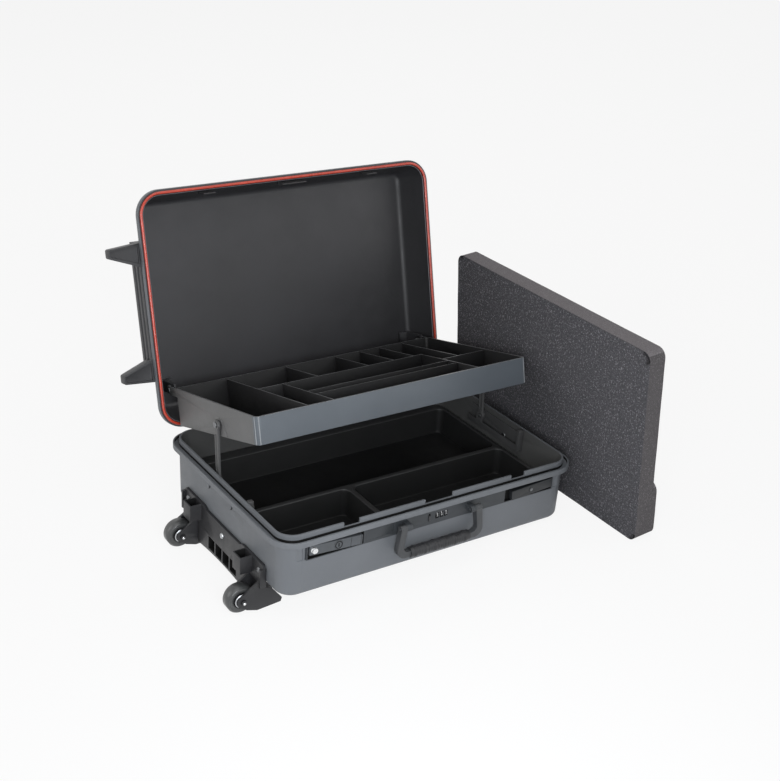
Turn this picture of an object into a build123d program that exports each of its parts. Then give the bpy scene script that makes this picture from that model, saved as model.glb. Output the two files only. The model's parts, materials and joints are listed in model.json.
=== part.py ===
from build123d import *
import os
from math import asin, atan, atan2, cos, degrees, hypot, radians, sin, tan

# Rolling tool case, opened out: a moulded base tub and a hinged lid, a compartment
# tray on two swinging arms that follows the lid, a bolt-on wheel truck at the left
# end, and the lid's foam slab standing beside the case.
# Millimetres. X runs along the case (wheels at -X), -Y is the handle side, +Z is up.
# The origin is the middle of the base's flat underside.

os.makedirs("parts", exist_ok=True)

# Case shells
case_length = 500.0
case_width = 350.0
corner_radius = 36.0
wall = 3.0
rim_overhang = 9.0  # how far the rim stands out past the tub's wall
rim_lip = 2.4  # outer lip of the rim, outside the seal groove
rim_thick = 8.0
base_height = 82.0  # underside of the rim
base_draft = 2.0  # how much each wall leans in towards the bottom
bottom_round = 10.0
groove_depth = 4.0
tongue_rise = 7.0  # the inner tongue above the rim
tongue_gaps = ((-137.5, 25.0), (4.0, 47.0), (142.5, 25.0))  # centre and width of each
lid_height = 55.0  # rim face to the outside of the lid's top
lid_draft = 17.0  # how much each lid wall leans in towards the top
lid_round = 12.0
lid_shoulder = 3.5  # rim edge to the foot of the lid's wall
lid_inner_draft = 14.0
rim_gap = 0.4  # between the two rims when shut
seal_width = 4.4
seal_proud = 2.6
seal_sunk = 3.0
fit = 0.3  # gap between pieces that only stand beside each other
running = 0.08  # radial clearance of a pin that turns in its hole
seated = 0.03  # radial clearance of a pin that stays in its hole

# Hinge between base and lid
hinge_out = 5.0  # pin axis behind the rim
hinge_pin_diameter = 4.0
knuckle_diameter = 9.2
knuckle_length = 23.5
knuckle_count = 3
knuckle_gap = 0.4
hinge_offset = 150.0
leaf_thick = 2.7
leaf_foot = 11.0
lid_open_angle = 104.0

# Tray linkage, in the YZ plane
arm_foot_back, arm_foot_z = 142.0, 80.0  # how far each pivot is in front of the hinge axis
arm_top_back, arm_top_z = 135.0, 164.0
arm_folded = 3.0  # what the arms stand above level when the lid is shut
tray_tilt = 14.4
link_y, link_z = 165.6, 22.7  # rear pivot of the tray, from its arm pivot
link_wander_y, link_wander_z = 3.2, 7.0  # what the rear pivot wanders in the lid
link_shift_y = 0.9
pin_diameter = 5.0
pin_head = 9.0
pin_head_thick = 1.4
arm_thick = 4.0
arm_width = 9.0
arm_eye = 7.0
arm_rib = 1.6
arm_groove = 1.2
arm_gap = 0.3  # between an arm and the channel's face
pin_room = 2.5  # between an arm and the channel's back, for the pin heads

# Tray, in its own frame: origin on the arm pivot, +Y to the rear, level when shut
tray_front_clear = 4.3  # from the tray's front to the front wall, shut
tray_rear = 143.0
tray_top = 28.6
tray_front_depth = 38.8
tray_rear_depth = 56.6
tray_wall = 2.4
tray_radius = 7.0
panel_thick = 1.5
panel_return = 8.0
boss_thick = 1.0
boss_gap = 0.4
divider = 1.8
thin_divider = 1.2
divider_drop = 1.5  # dividers end this far below the tray's edge
left_bay = 84.0
rear_row = 153.5  # front of the tray to the long divider
side_row = 98.5
thin_rows = (58.5, 82.5)
rear_bays = (101.0, 89.0, 46.0, 37.0)  # widths from the left bay on
narrow_bay = 41.0
right_bay = 81.0
corner_bay = 51.0
lug_thick = 2.4
bracket_thick = 3.0

# Arm channels on the end walls
channel_ahead, channel_behind = 99.0, 28.0  # how far it runs from the arm's foot
channel_face_sheet = 1.0
channel_bottom, channel_top = 62.0, 89.0
channel_sheet = 1.5
channel_cheek = 10.0
channel_block = 5.5
rivet_diameter = 4.0
rivet_head = 8.0
rivet_inner, rivet_outer = 0.9, 1.2  # thickness of the heads
rivet_offsets = (12.0, -55.0)  # from the arm's foot
rivet_z = 68.5

# Wheel truck
wheel_diameter = 41.0
wheel_width = 20.0
wheel_reach = 37.5  # how far the wheels stand out past the rim
wheel_spacing = 188.0
wheel_drop = 25.5  # axle below the case's underside
axle_diameter = 6.0
axle_head = 8.0
hub_diameter = 23.0
hub_width = 22.0
truck_width = 242.0
truck_plate = 4.0
plate_top = 31.5
plate_step = 4.0  # the plate is this much lower between the sockets
plate_end_low = -2.0
plate_notch = 8.0
end_post, end_post_proud = 4.0, 5.0
socket_spacing = 153.0
socket_length, socket_width = 15.7, 18.2
socket_wall = 2.0
socket_top, socket_depth = 30.0, 22.5
cheek = 4.0
cheek_round = 9.0
cheek_gap = 1.5
skirt_depth = 13.0
skirt_low, skirt_end_low = -33.0, -38.0  # middle and ends of its arched lower edge
pocket_count = 4
pocket_pitch = 22.0
pocket_rib = 3.0
pocket_low, pocket_high = -30.0, -10.0
screw_diameter = 5.0
screw_head = 9.0
screw_inset = 13.4  # end screws from the plate's end
screw_heights = (19.0, 13.0)  # at the ends and in the middle

# Lid stand: two horns that carry the case with the wheels when it stands on end
horn_spacing = 170.0
horn_root, horn_tip = 34.0, 13.0
horn_thick = 14.0
horn_reach = 46.0  # how far the horns stand out past the rim
horn_edge, horn_recess = 2.6, 3.0  # raised edge round the hollow of each horn
spine_groove, spine_groove_depth = 6.0, 1.5
spine_depth = 32.0
spine_proud = 1.0

# Front lock strip
strip_ends = 42.0  # from the rim's end to the strip's end
strip_bottom, strip_top = 56.5, 80.5
strip_proud = 2.5
strip_thick = 6.5
pocket_border = 1.6
pocket_floor = 2.0
pocket_length = 86.5
latch_height = 14.5
latch_lengths = (82.0, 73.0)
latch_end_gaps = (2.0, 3.0)  # from the outer end of its pocket
latch_pivot_out = (46.5, 41.0)  # from the outer end of its pocket
latch_proud = (1.5, 3.5)
latch_angle = 3.5
key_diameter = 12.0
dome_out = 9.0
dome_diameter = 8.0
plate_ends = (-116.0, -72.0)
plate_height = 15.0
relief_width, relief_depth = 9.0, 1.2
relief_gap = 3.5  # from the strip's end to the thumb relief beside it
plate_thick = 0.8
dial_x = (0.5, 8.0, 15.5)
dial_diameter, dial_width = 10.0, 4.6
dial_cover = 0.7
dial_faces = 10
dial_proud = 0.8
spindle_diameter = 2.0
slider_x = -12.5
slider_width, slider_height, slider_travel = 3.0, 8.0, 3.0

# Carry handle
handle_half = 63.0  # centre of each leg at its pivot
handle_splay = 4.0  # how much further out each leg stands at the grip
handle_pivot_z = 70.0
handle_drop = 41.0  # pivot to the middle of the grip
handle_leg = 10.0
handle_thick = 9.0
handle_out = 10.0  # pivot axis in front of the strip
handle_pin = 4.0
grip_diameter = 15.0
grip_length = 100.0
grip_ribs = 6

# Foam slab
foam_length = 440.0
foam_height = 305.0
foam_thick = 28.0
foam_band = 88.0
foam_band_proud = 8.0
foam_rear = 160.0
foam_radius = 14.0
foam_clear = 1.0  # between the slab's top and the lid's sweep

# Base insert
insert_top = 48.0
insert_floor = 2.0
insert_draft = 1.0
ridge = 8.0
ridge_y = -12.0
ridge_x = -47.0
insert_rear_clear = 23.0
insert_border = 9.0
pocket_radius = 12.0

# What follows from the sizes above
body_half = case_length / 2 - rim_overhang
body_half_y = case_width / 2 - rim_overhang
body_radius = corner_radius - rim_overhang
rim_top = base_height + rim_thick
tongue_top = rim_top + tongue_rise
inner_half = body_half - wall
inner_half_y = body_half_y - wall
lid_base = rim_top + rim_gap
lid_wall_foot = lid_base + rim_thick
lid_top = lid_base + lid_height
hinge_y = case_width / 2 + hinge_out
hinge_z = rim_top + rim_gap / 2
draft = degrees(atan(base_draft / tongue_top))
arm_foot_y = hinge_y - arm_foot_back
arm_top_y = hinge_y - arm_top_back
arm_length = hypot(arm_top_y - arm_foot_y, arm_top_z - arm_foot_z)
arm_lean = degrees(atan2(arm_top_z - arm_foot_z, arm_top_y - arm_foot_y)) - 90.0
shut_y = arm_foot_y - arm_length * cos(radians(arm_folded))
shut_z = arm_foot_z + arm_length * sin(radians(arm_folded))
channel_back = inner_half - base_draft / 2 - fit
arm_outer = channel_back - channel_sheet - pin_room
arm_inner = arm_outer - arm_thick
channel_face = arm_inner - arm_gap - channel_face_sheet
tray_half = channel_face - boss_gap - boss_thick
tray_front = -(inner_half_y - tray_front_clear) + panel_thick - shut_y
channel_front = arm_foot_y - channel_ahead
channel_rear = arm_foot_y + channel_behind
rivet_y = [arm_foot_y + offset for offset in rivet_offsets]
wheel_radius = wheel_diameter / 2
wheel_x = -(case_length / 2 + wheel_reach - wheel_radius)
strip_face = -(body_half_y + strip_proud)
strip_back = strip_face + strip_thick
strip_middle = (strip_bottom + strip_top) / 2
strip_half = case_length / 2 - strip_ends
pocket_out = strip_half - pocket_border - 0.4
latch_pivots = (-(pocket_out - latch_pivot_out[0]), pocket_out - latch_pivot_out[1])

# The case stands on its wheels and on the far bottom edge, so the floor leans
edge_x = body_half - base_draft - bottom_round
stand_tilt = degrees(
    atan2(wheel_drop + bottom_round, edge_x - wheel_x)
    + asin((wheel_radius - bottom_round) / hypot(edge_x - wheel_x, wheel_drop + bottom_round))
)


def wall_at(z, half=body_half):
    """Distance from the middle to the outside of the tub's wall at height z."""
    return half - base_draft * (1 - z / tongue_top)


def floor_z(x):
    """Height of the leaning floor under the point x."""
    lean = radians(stand_tilt)
    return (x - edge_x) * tan(lean) + bottom_round - bottom_round / cos(lean)


def turned(angle, y, z):
    """A turn by angle degrees about the X line through (y, z)."""
    return Location((0, y, z)) * Rotation(angle, 0, 0) * Location((0, -y, -z))


def swung(angle, x, z):
    """A turn by angle degrees about the Y line through (x, z)."""
    return Location((x, 0, z)) * Rotation(0, angle, 0) * Location((-x, 0, -z))


as_built = Location((0, 0, 0))
lid_pose = turned(-lid_open_angle, hinge_y, hinge_z)
tray_pose = Location((0, arm_top_y, arm_top_z)) * Rotation(-tray_tilt, 0, 0)
arm_pose = Location((0, arm_foot_y, arm_foot_z)) * Rotation(arm_lean, 0, 0)
foam_x = case_length / 2 + foam_clear + foam_height * sin(radians(stand_tilt))
foam_pose = Location((foam_x, 0, floor_z(foam_x))) * Rotation(0, -stand_tilt, 0)


def keep(piece, name, pose=as_built):
    """Labels one finished piece and writes it at its place."""
    placed = piece.part.moved(pose)
    placed.label = name
    export_step(placed, f"parts/{name}.step")
    print(name)


# Base tub: a drafted pan with a grooved rim and a raised tongue
with BuildPart() as base_cavity:
    with BuildSketch(Plane.XY.offset(tongue_top)):
        RectangleRounded(2 * inner_half, 2 * inner_half_y, body_radius - wall)
    extrude(amount=-(tongue_top - wall), taper=draft)
    chamfer(base_cavity.faces().sort_by(Axis.Z)[0].edges(), bottom_round - wall)
    with BuildSketch(Plane.XY.offset(tongue_top)):
        RectangleRounded(2 * inner_half, 2 * inner_half_y, body_radius - wall)
    extrude(amount=wall)

with BuildPart() as base_shell:
    with BuildSketch(Plane.XY.offset(tongue_top)):
        RectangleRounded(2 * body_half, 2 * body_half_y, body_radius)
    extrude(amount=-tongue_top, taper=draft)
    fillet(base_shell.faces().sort_by(Axis.Z)[0].edges(), bottom_round)
    with BuildSketch(Plane.XY.offset(base_height)):
        RectangleRounded(case_length, case_width, corner_radius)
    extrude(amount=rim_thick)
    with BuildSketch(Plane.XY.offset(rim_top)):
        RectangleRounded(case_length - 2 * rim_lip, case_width - 2 * rim_lip, corner_radius - rim_lip)
        RectangleRounded(2 * body_half, 2 * body_half_y, body_radius, mode=Mode.SUBTRACT)
    extrude(amount=-groove_depth, mode=Mode.SUBTRACT)
    add(base_cavity.part, mode=Mode.SUBTRACT)
    for gap_x, gap_width in tongue_gaps:
        with Locations((gap_x, -body_half_y, rim_top)):
            Box(gap_width, 4 * wall, 2 * tongue_rise, align=(Align.CENTER, Align.CENTER, Align.MIN),
                mode=Mode.SUBTRACT)
    with Locations((0, -body_half_y, strip_middle)):
        Box(2 * strip_half, 4 * wall, strip_top - strip_bottom, mode=Mode.SUBTRACT)
    for y in rivet_y:
        with Locations(Location((0, y, rivet_z), (0, 90, 0))):
            Cylinder(rivet_diameter / 2 + seated, 3 * body_half, mode=Mode.SUBTRACT)
    for side in (-1, 1):
        relief_x = side * (strip_half + relief_gap + relief_width / 2)
        with Locations((relief_x, -wall_at(strip_middle, body_half_y), strip_middle)):
            Box(relief_width, 2 * relief_depth, strip_top - strip_bottom, mode=Mode.SUBTRACT)
keep(base_shell, "base_shell")

# Black thermoformed insert with three compartments
with BuildPart() as base_insert:
    with BuildSketch(Plane.XY.offset(insert_top)):
        side_gap = base_draft / 2 + fit + insert_draft
        RectangleRounded(2 * (inner_half - side_gap), 2 * (inner_half_y - side_gap), body_radius - wall)
    extrude(amount=-(insert_top - wall - fit), taper=draft)
    chamfer(base_insert.faces().sort_by(Axis.Z)[0].edges(), bottom_round - wall)
    insert_end = inner_half - insert_border
    insert_side = inner_half_y - insert_border
    compartments = (
        (-insert_end, insert_end, ridge_y + ridge / 2, inner_half_y - insert_rear_clear),
        (-insert_end, ridge_x - ridge / 2, -insert_side, ridge_y - ridge / 2),
        (ridge_x + ridge / 2, insert_end, -insert_side, ridge_y - ridge / 2),
    )
    for x0, x1, y0, y1 in compartments:
        with BuildSketch(Plane.XY.offset(insert_top)):
            with Locations(((x0 + x1) / 2, (y0 + y1) / 2)):
                RectangleRounded(x1 - x0, y1 - y0, pocket_radius)
        extrude(amount=-(insert_top - wall - fit - insert_floor), taper=3, mode=Mode.SUBTRACT)
keep(base_insert, "base_insert")


# Arm channels, riveted to the end walls. The left one is drawn and the right mirrored.
with BuildPart() as left_channel:
    with BuildSketch(Plane.YZ.offset(-channel_back)):
        with Locations(((channel_front + channel_rear) / 2, (channel_bottom + channel_top) / 2)):
            Rectangle(channel_rear - channel_front, channel_top - channel_bottom)
    extrude(amount=channel_sheet)
    with BuildSketch(Plane.YZ.offset(-channel_back)):
        with Locations(((channel_front + channel_rear) / 2, channel_bottom + channel_sheet / 2)):
            Rectangle(channel_rear - channel_front, channel_sheet)
        with Locations((channel_front + channel_block / 2, (channel_bottom + channel_top) / 2)):
            Rectangle(channel_block, channel_top - channel_bottom)
    extrude(amount=channel_back - channel_face)
    with BuildSketch(Plane.YZ.offset(-channel_face)):
        with Locations(((channel_front + channel_rear) / 2, channel_bottom + channel_cheek / 2)):
            Rectangle(channel_rear - channel_front, channel_cheek)
        with Locations((arm_foot_y, arm_foot_z)):
            Circle(arm_eye + 1)
        with Locations((arm_foot_y, (channel_bottom + arm_foot_z) / 2)):
            Rectangle(2 * arm_eye + 2, arm_foot_z - channel_bottom)
    extrude(amount=-channel_face_sheet)
    with Locations(Location((-channel_back, arm_foot_y, arm_foot_z), (0, 90, 0))):
        Cylinder(pin_diameter / 2 + seated, 4 * pin_diameter, mode=Mode.SUBTRACT)
    for y in rivet_y:
        with Locations(Location((-channel_back, y, rivet_z), (0, 90, 0))):
            Cylinder(rivet_diameter / 2 + seated, 4 * channel_sheet, mode=Mode.SUBTRACT)
keep(left_channel, "left_arm_channel")

with BuildPart() as right_channel:
    mirror(left_channel.part, about=Plane.YZ)
keep(right_channel, "right_arm_channel")

with BuildPart() as channel_rivets:
    wall_out = wall_at(rivet_z) + fit
    rivet_end = channel_back - channel_sheet - rivet_inner - 0.1
    for y in rivet_y:
        with BuildSketch(Plane.YZ.offset(-rivet_end)):
            with Locations((y, rivet_z)):
                Circle(rivet_diameter / 2)
        extrude(amount=-(wall_out - rivet_end))
        with BuildSketch(Plane.YZ.offset(-rivet_end)):
            with Locations((y, rivet_z)):
                Circle(rivet_head / 2)
        extrude(amount=-rivet_inner)
        with BuildSketch(Plane.YZ.offset(-wall_out)):
            with Locations((y, rivet_z)):
                Circle(rivet_head / 2)
        extrude(amount=-rivet_outer)
    mirror(about=Plane.YZ)
keep(channel_rivets, "channel_rivets")

with BuildPart() as arm_foot_pins:
    with BuildSketch(Plane.YZ.offset(-channel_back)):
        with Locations((arm_foot_y, arm_foot_z)):
            Circle(pin_diameter / 2)
    extrude(amount=channel_back - channel_face + 0.2)
    mirror(about=Plane.YZ)
keep(arm_foot_pins, "arm_foot_pins")

# Swinging arms: flat bars with an eye at each end and a rolled groove down each face
with BuildPart() as left_arm:
    with BuildSketch(Plane.YZ.offset(-arm_outer)):
        with Locations((0, arm_length / 2)):
            Rectangle(arm_width, arm_length)
        with Locations((0, 0), (0, arm_length)):
            Circle(arm_eye)
    extrude(amount=arm_thick)
    with BuildSketch(Plane.YZ.offset(-arm_outer)):
        with Locations((0, 0), (0, arm_length)):
            Circle(pin_diameter / 2 + running)
    extrude(amount=arm_thick, mode=Mode.SUBTRACT)
    for face_x, inward in ((-arm_outer, 1), (-arm_inner, -1)):
        with BuildSketch(Plane.YZ.offset(face_x)):
            with Locations((0, arm_length / 2)):
                SlotOverall(arm_length - 4 * arm_eye, arm_width - 2 * arm_rib - 1, rotation=90)
        extrude(amount=inward * arm_groove, mode=Mode.SUBTRACT)
keep(left_arm, "left_arm", arm_pose)

with BuildPart() as right_arm:
    mirror(left_arm.part, about=Plane.YZ)
keep(right_arm, "right_arm", arm_pose)


# Tray: a wedge-shaped open box, deeper at the rear
def tray_outline(side, drop, floor_up):
    """Side view of the tray, drawn side in from its ends and floor_up over its floor."""
    slope = (tray_rear_depth - tray_front_depth) / (tray_rear - tray_front)
    front, rear = tray_front + side, tray_rear - side
    bottom_front = tray_top - tray_front_depth - slope * side + floor_up
    bottom_rear = tray_top - tray_front_depth - slope * (rear - tray_front) + floor_up
    Polyline((front, bottom_front), (rear, bottom_rear), (rear, tray_top + drop), (front, tray_top + drop),
             close=True)


with BuildPart() as tray_space:
    with BuildSketch(Plane.YZ.offset(-(tray_half - tray_wall))):
        with BuildLine():
            tray_outline(tray_wall, 1.0, tray_wall)
        make_face()
    extrude(amount=2 * (tray_half - tray_wall))
    fillet(tray_space.edges().filter_by(Axis.Z), tray_radius - tray_wall)

with BuildPart() as tray_body:
    with BuildSketch(Plane.YZ.offset(-tray_half)):
        with BuildLine():
            tray_outline(0, 0, 0)
        make_face()
    extrude(amount=2 * tray_half)
    fillet(tray_body.edges().filter_by(Axis.Z), tray_radius)
    add(tray_space.part, mode=Mode.SUBTRACT)
    # raised triangular boss round the arm pivot and the lug for the rear pivot
    for face_x, outward in ((-tray_half, -1), (tray_half, 1)):
        with BuildSketch(Plane.YZ.offset(face_x - outward)):
            with BuildLine():
                Polyline((-22, -15.5), (-9, 3), (6, 5), (70, -21.5), close=True)
            make_face()
            Circle(arm_eye + 1.5)
        extrude(amount=outward * (boss_thick + 1))
        with BuildSketch(Plane.YZ.offset(face_x)):
            with Locations(((tray_rear + link_y) / 2 - 4, link_z - 0.8)):
                Rectangle(link_y - tray_rear + 8, 2 * arm_eye - 1.6)
            with Locations((link_y, link_z)):
                Circle(arm_eye)
        extrude(amount=-outward * lug_thick)
        with Locations(Location((face_x, 0, 0), (0, 90, 0)), Location((face_x, link_y, link_z), (0, 90, 0))):
            Cylinder(pin_diameter / 2 + seated, 4 * tray_wall, mode=Mode.SUBTRACT)
keep(tray_body, "tray_body", tray_pose)

# Front panel of the tray, wrapped round both corners
with BuildPart() as tray_panel:
    panel_bottom = tray_top - tray_front_depth
    with BuildSketch(Plane.XY.offset(panel_bottom)):
        with Locations((0, tray_front - panel_thick + (panel_thick + panel_return) / 2)):
            Rectangle(2 * (tray_half + boss_thick - 0.2), panel_thick + panel_return)
        with Locations((0, tray_front + tray_radius)):
            RectangleRounded(2 * tray_half + 0.2, 2 * tray_radius + 0.2, tray_radius, mode=Mode.SUBTRACT)
    extrude(amount=tray_front_depth)
    fillet(tray_panel.edges().filter_by(Axis.Z).group_by(Axis.Y)[0], tray_radius + 1.2)
keep(tray_panel, "tray_front_panel", tray_pose)

# Dividers that slot into the tray
left_x = -tray_half + left_bay
mid_y = tray_front + rear_row
side_y = tray_front + side_row
side_x = tray_half - right_bay
corner_x = tray_half - corner_bay
small_x = left_x + narrow_bay
rear_in, front_in = tray_rear - tray_wall, tray_front + tray_wall
half_in = tray_half - tray_wall
slip = 0.15


def plate(x0, x1, y0, y1):
    """An upright divider plate between two corners, as deep as the tray."""
    with Locations(((x0 + x1) / 2, (y0 + y1) / 2, tray_top - divider_drop)):
        Box(x1 - x0, y1 - y0, 2 * tray_rear_depth, align=(Align.CENTER, Align.CENTER, Align.MAX))


def cross(x, y0, y1, thick=divider):
    """A divider that runs from front to rear at x."""
    plate(x - thick / 2, x + thick / 2, y0, y1)


def along(y, x0, x1, thick=divider):
    """A divider that runs along the tray at y."""
    plate(x0, x1, y - thick / 2, y + thick / 2)


gap = divider / 2 + slip
with BuildPart() as tray_long_dividers:
    along(mid_y, left_x + gap, side_x + divider / 2)
    along(side_y, side_x + gap, half_in)
    add(tray_space.part, mode=Mode.INTERSECT)
keep(tray_long_dividers, "tray_long_dividers", tray_pose)

with BuildPart() as tray_cross_dividers:
    cross(left_x, front_in, rear_in)
    bay_x = left_x
    for bay in rear_bays:
        bay_x = bay_x + bay
        cross(bay_x, mid_y + gap, rear_in)
    cross(small_x, front_in, mid_y - gap)
    cross(side_x, front_in, mid_y - gap)
    cross(corner_x, side_y + gap, rear_in)
    add(tray_space.part, mode=Mode.INTERSECT)
keep(tray_cross_dividers, "tray_cross_dividers", tray_pose)

with BuildPart() as tray_thin_dividers:
    for row in thin_rows:
        along(tray_front + row, small_x + gap, side_x - gap, thin_divider)
    add(tray_space.part, mode=Mode.INTERSECT)
keep(tray_thin_dividers, "tray_thin_dividers", tray_pose)

# Pivot pins of the tray: one through each arm, one at each rear lug
bracket_outer = tray_half - lug_thick - 0.8
with BuildPart() as tray_pins:
    head_x = arm_outer + 0.4
    with BuildSketch(Plane.YZ.offset(-(tray_half - tray_wall))):
        Circle(pin_diameter / 2)
    extrude(amount=-(head_x - tray_half + tray_wall))
    with BuildSketch(Plane.YZ.offset(-head_x)):
        Circle(pin_head / 2)
    extrude(amount=-pin_head_thick)
    with BuildSketch(Plane.YZ.offset(-tray_half)):
        with Locations((link_y, link_z)):
            Circle(pin_diameter / 2)
    extrude(amount=tray_half - bracket_outer + bracket_thick + 1.5)
    with BuildSketch(Plane.YZ.offset(-tray_half)):
        with Locations((link_y, link_z)):
            Circle(pin_head / 2)
    extrude(amount=-pin_head_thick)
    mirror(about=Plane.YZ)
keep(tray_pins, "tray_pivot_pins", tray_pose)


# Lid, drawn shut and swung open. Its walls lean in and its corners are full.
lid_mouth = rim_overhang - 0.5
with BuildPart() as lid_space:
    with BuildSketch(Plane.XY.offset(lid_wall_foot)):
        RectangleRounded(case_length - 2 * lid_mouth, case_width - 2 * lid_mouth, corner_radius - lid_mouth)
    extrude(amount=lid_top - wall - lid_wall_foot,
            taper=degrees(atan(lid_inner_draft / (lid_top - wall - lid_wall_foot))))
    fillet(lid_space.faces().sort_by(Axis.Z)[-1].edges(), lid_round - wall)

with BuildPart() as lid_outer:
    with BuildSketch(Plane.XY.offset(lid_wall_foot)):
        RectangleRounded(case_length - 2 * lid_shoulder, case_width - 2 * lid_shoulder,
                         corner_radius - lid_shoulder)
    extrude(amount=lid_top - lid_wall_foot, taper=degrees(atan(lid_draft / (lid_top - lid_wall_foot))))
    fillet(lid_outer.faces().sort_by(Axis.Z)[-1].edges(), lid_round)

seal_edge = rim_lip + 0.2
with BuildPart() as lid_shell:
    add(lid_outer.part)
    with BuildSketch(Plane.XY.offset(lid_base)):
        RectangleRounded(case_length, case_width, corner_radius)
    extrude(amount=rim_thick)
    add(lid_space.part, mode=Mode.SUBTRACT)
    with BuildSketch(Plane.XY.offset(lid_base)):
        RectangleRounded(case_length - 2 * lid_mouth, case_width - 2 * lid_mouth, corner_radius - lid_mouth)
    extrude(amount=rim_thick, mode=Mode.SUBTRACT)
    with BuildSketch(Plane.XY.offset(lid_base)):
        RectangleRounded(case_length - 2 * seal_edge, case_width - 2 * seal_edge, corner_radius - seal_edge)
        in_edge = seal_edge + seal_width
        RectangleRounded(case_length - 2 * in_edge, case_width - 2 * in_edge, corner_radius - in_edge,
                         mode=Mode.SUBTRACT)
    extrude(amount=seal_sunk, mode=Mode.SUBTRACT)
keep(lid_shell, "lid_shell", lid_pose)

# Red seal in the lid's rim; it drops into the groove of the base
with BuildPart() as lid_seal:
    with BuildSketch(Plane.XY.offset(lid_base + seal_sunk)):
        RectangleRounded(case_length - 2 * seal_edge, case_width - 2 * seal_edge, corner_radius - seal_edge)
        RectangleRounded(case_length - 2 * in_edge, case_width - 2 * in_edge, corner_radius - in_edge,
                         mode=Mode.SUBTRACT)
    extrude(amount=-(seal_sunk + seal_proud))
    chamfer(lid_seal.faces().sort_by(Axis.Z)[0].edges(), 1.2)
keep(lid_seal, "lid_seal", lid_pose)

# Strikers that drop through the gaps of the tongue
striker_out = inner_half_y - 2 * fit
with BuildPart() as lid_strikers:
    for gap_x, gap_width in tongue_gaps:
        with Locations((gap_x, -striker_out, base_height + 2)):
            Box(gap_width - 6, 1.4, 21, align=(Align.CENTER, Align.MIN, Align.MIN))
        with Locations((gap_x, -striker_out, lid_wall_foot + 0.4)):
            Box(gap_width - 6, 1.6, 5, align=(Align.CENTER, Align.MAX, Align.MIN))
        with Locations((gap_x, -striker_out, base_height + 5)):
            Box(gap_width - 14, 6, 3, mode=Mode.SUBTRACT)
keep(lid_strikers, "lid_strikers", lid_pose)

# Slotted brackets in the lid that carry the tray's rear pivots
with BuildPart() as link_brackets:
    slot_y = shut_y + link_y - link_shift_y
    slot_z = shut_z + link_z - link_wander_z / 2
    slot_long = pin_diameter + link_wander_z + 2 * fit
    slot_wide = pin_diameter + link_wander_y + 2 * fit
    bracket_top = lid_top - wall - 4.5
    bracket_low = slot_z - slot_long / 2 - 3.5
    with BuildSketch(Plane.YZ.offset(-bracket_outer)):
        with Locations((slot_y, (bracket_low + bracket_top) / 2)):
            Rectangle(slot_wide + 8, bracket_top - bracket_low)
        with Locations((slot_y, slot_z)):
            RectangleRounded(slot_wide, slot_long, slot_wide / 2 - 0.4, mode=Mode.SUBTRACT)
    extrude(amount=bracket_thick)
    with Locations((-bracket_outer, slot_y, bracket_top)):
        Box(16, slot_wide + 8, 2, align=(Align.MIN, Align.CENTER, Align.MAX))
    with Locations((-bracket_outer + 16, slot_y, bracket_top)):
        Box(8, slot_wide + 8, 6.2, align=(Align.MAX, Align.CENTER, Align.MIN))
    with Locations((-bracket_outer + 16, slot_y, lid_top - wall - fit)):
        Box(12, slot_wide + 8, 6, align=(Align.MAX, Align.CENTER, Align.MIN), mode=Mode.SUBTRACT)
    mirror(about=Plane.YZ)
keep(link_brackets, "tray_link_brackets", lid_pose)

# Lid stand on the left end: a spine with two hollowed horns, moulded over the leaning wall
reach_x = -(case_length / 2 + horn_reach)
spine_face = -(case_length / 2 + spine_proud)
spine_half = (horn_spacing + horn_root) / 2
horn_z = lid_wall_foot + 1.0
spine_middle = (spine_face - body_half + 20) / 2
with BuildPart() as lid_stand:
    with BuildSketch(Plane.XY.offset(horn_z)):
        for side in (-1, 1):
            with BuildLine():
                Polyline((spine_face, side * (horn_spacing - horn_root) / 2), (spine_face, side * spine_half),
                         (reach_x, side * (horn_spacing / 2 + horn_tip)), (reach_x, side * horn_spacing / 2),
                         close=True)
            make_face()
    extrude(amount=horn_thick)
    fillet(lid_stand.edges().filter_by(Axis.Z).group_by(Axis.X)[0], 3)
    with BuildSketch(Plane.XY.offset(horn_z)):
        for side in (-1, 1):
            with BuildLine():
                Polyline((spine_face - 1, side * ((horn_spacing - horn_root) / 2 + 2 * horn_edge)),
                         (spine_face - 1, side * (spine_half - 1.3 * horn_edge)),
                         (reach_x + horn_edge, side * (horn_spacing / 2 + horn_tip - horn_edge)),
                         (reach_x + horn_edge, side * (horn_spacing / 2 + horn_edge)), close=True)
            make_face()
    extrude(amount=horn_recess, mode=Mode.SUBTRACT)
    with BuildSketch(Plane.XY.offset(horn_z)):
        with Locations((spine_middle, 0)):
            Rectangle(-2 * (spine_middle - spine_face), 2 * spine_half)
    extrude(amount=spine_depth)
    for n in (-1, 1):
        with Locations((spine_face, 0, horn_z + spine_depth / 2 + n * spine_groove)):
            Box(2 * spine_groove_depth, 2 * spine_half - 4 * horn_edge, spine_groove, mode=Mode.SUBTRACT)
    with BuildSketch(Plane.XY.offset(lid_wall_foot)):
        RectangleRounded(case_length - 2 * lid_shoulder + 2 * fit, case_width - 2 * lid_shoulder + 2 * fit,
                         corner_radius - lid_shoulder + fit)
    extrude(amount=lid_top - lid_wall_foot, taper=degrees(atan(lid_draft / (lid_top - lid_wall_foot))),
            mode=Mode.SUBTRACT)
keep(lid_stand, "lid_stand", lid_pose)

# Hinges: three knuckles each, two on the base and one on the lid
pitch = knuckle_length + knuckle_gap
first = -pitch * (knuckle_count - 1) / 2


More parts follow.
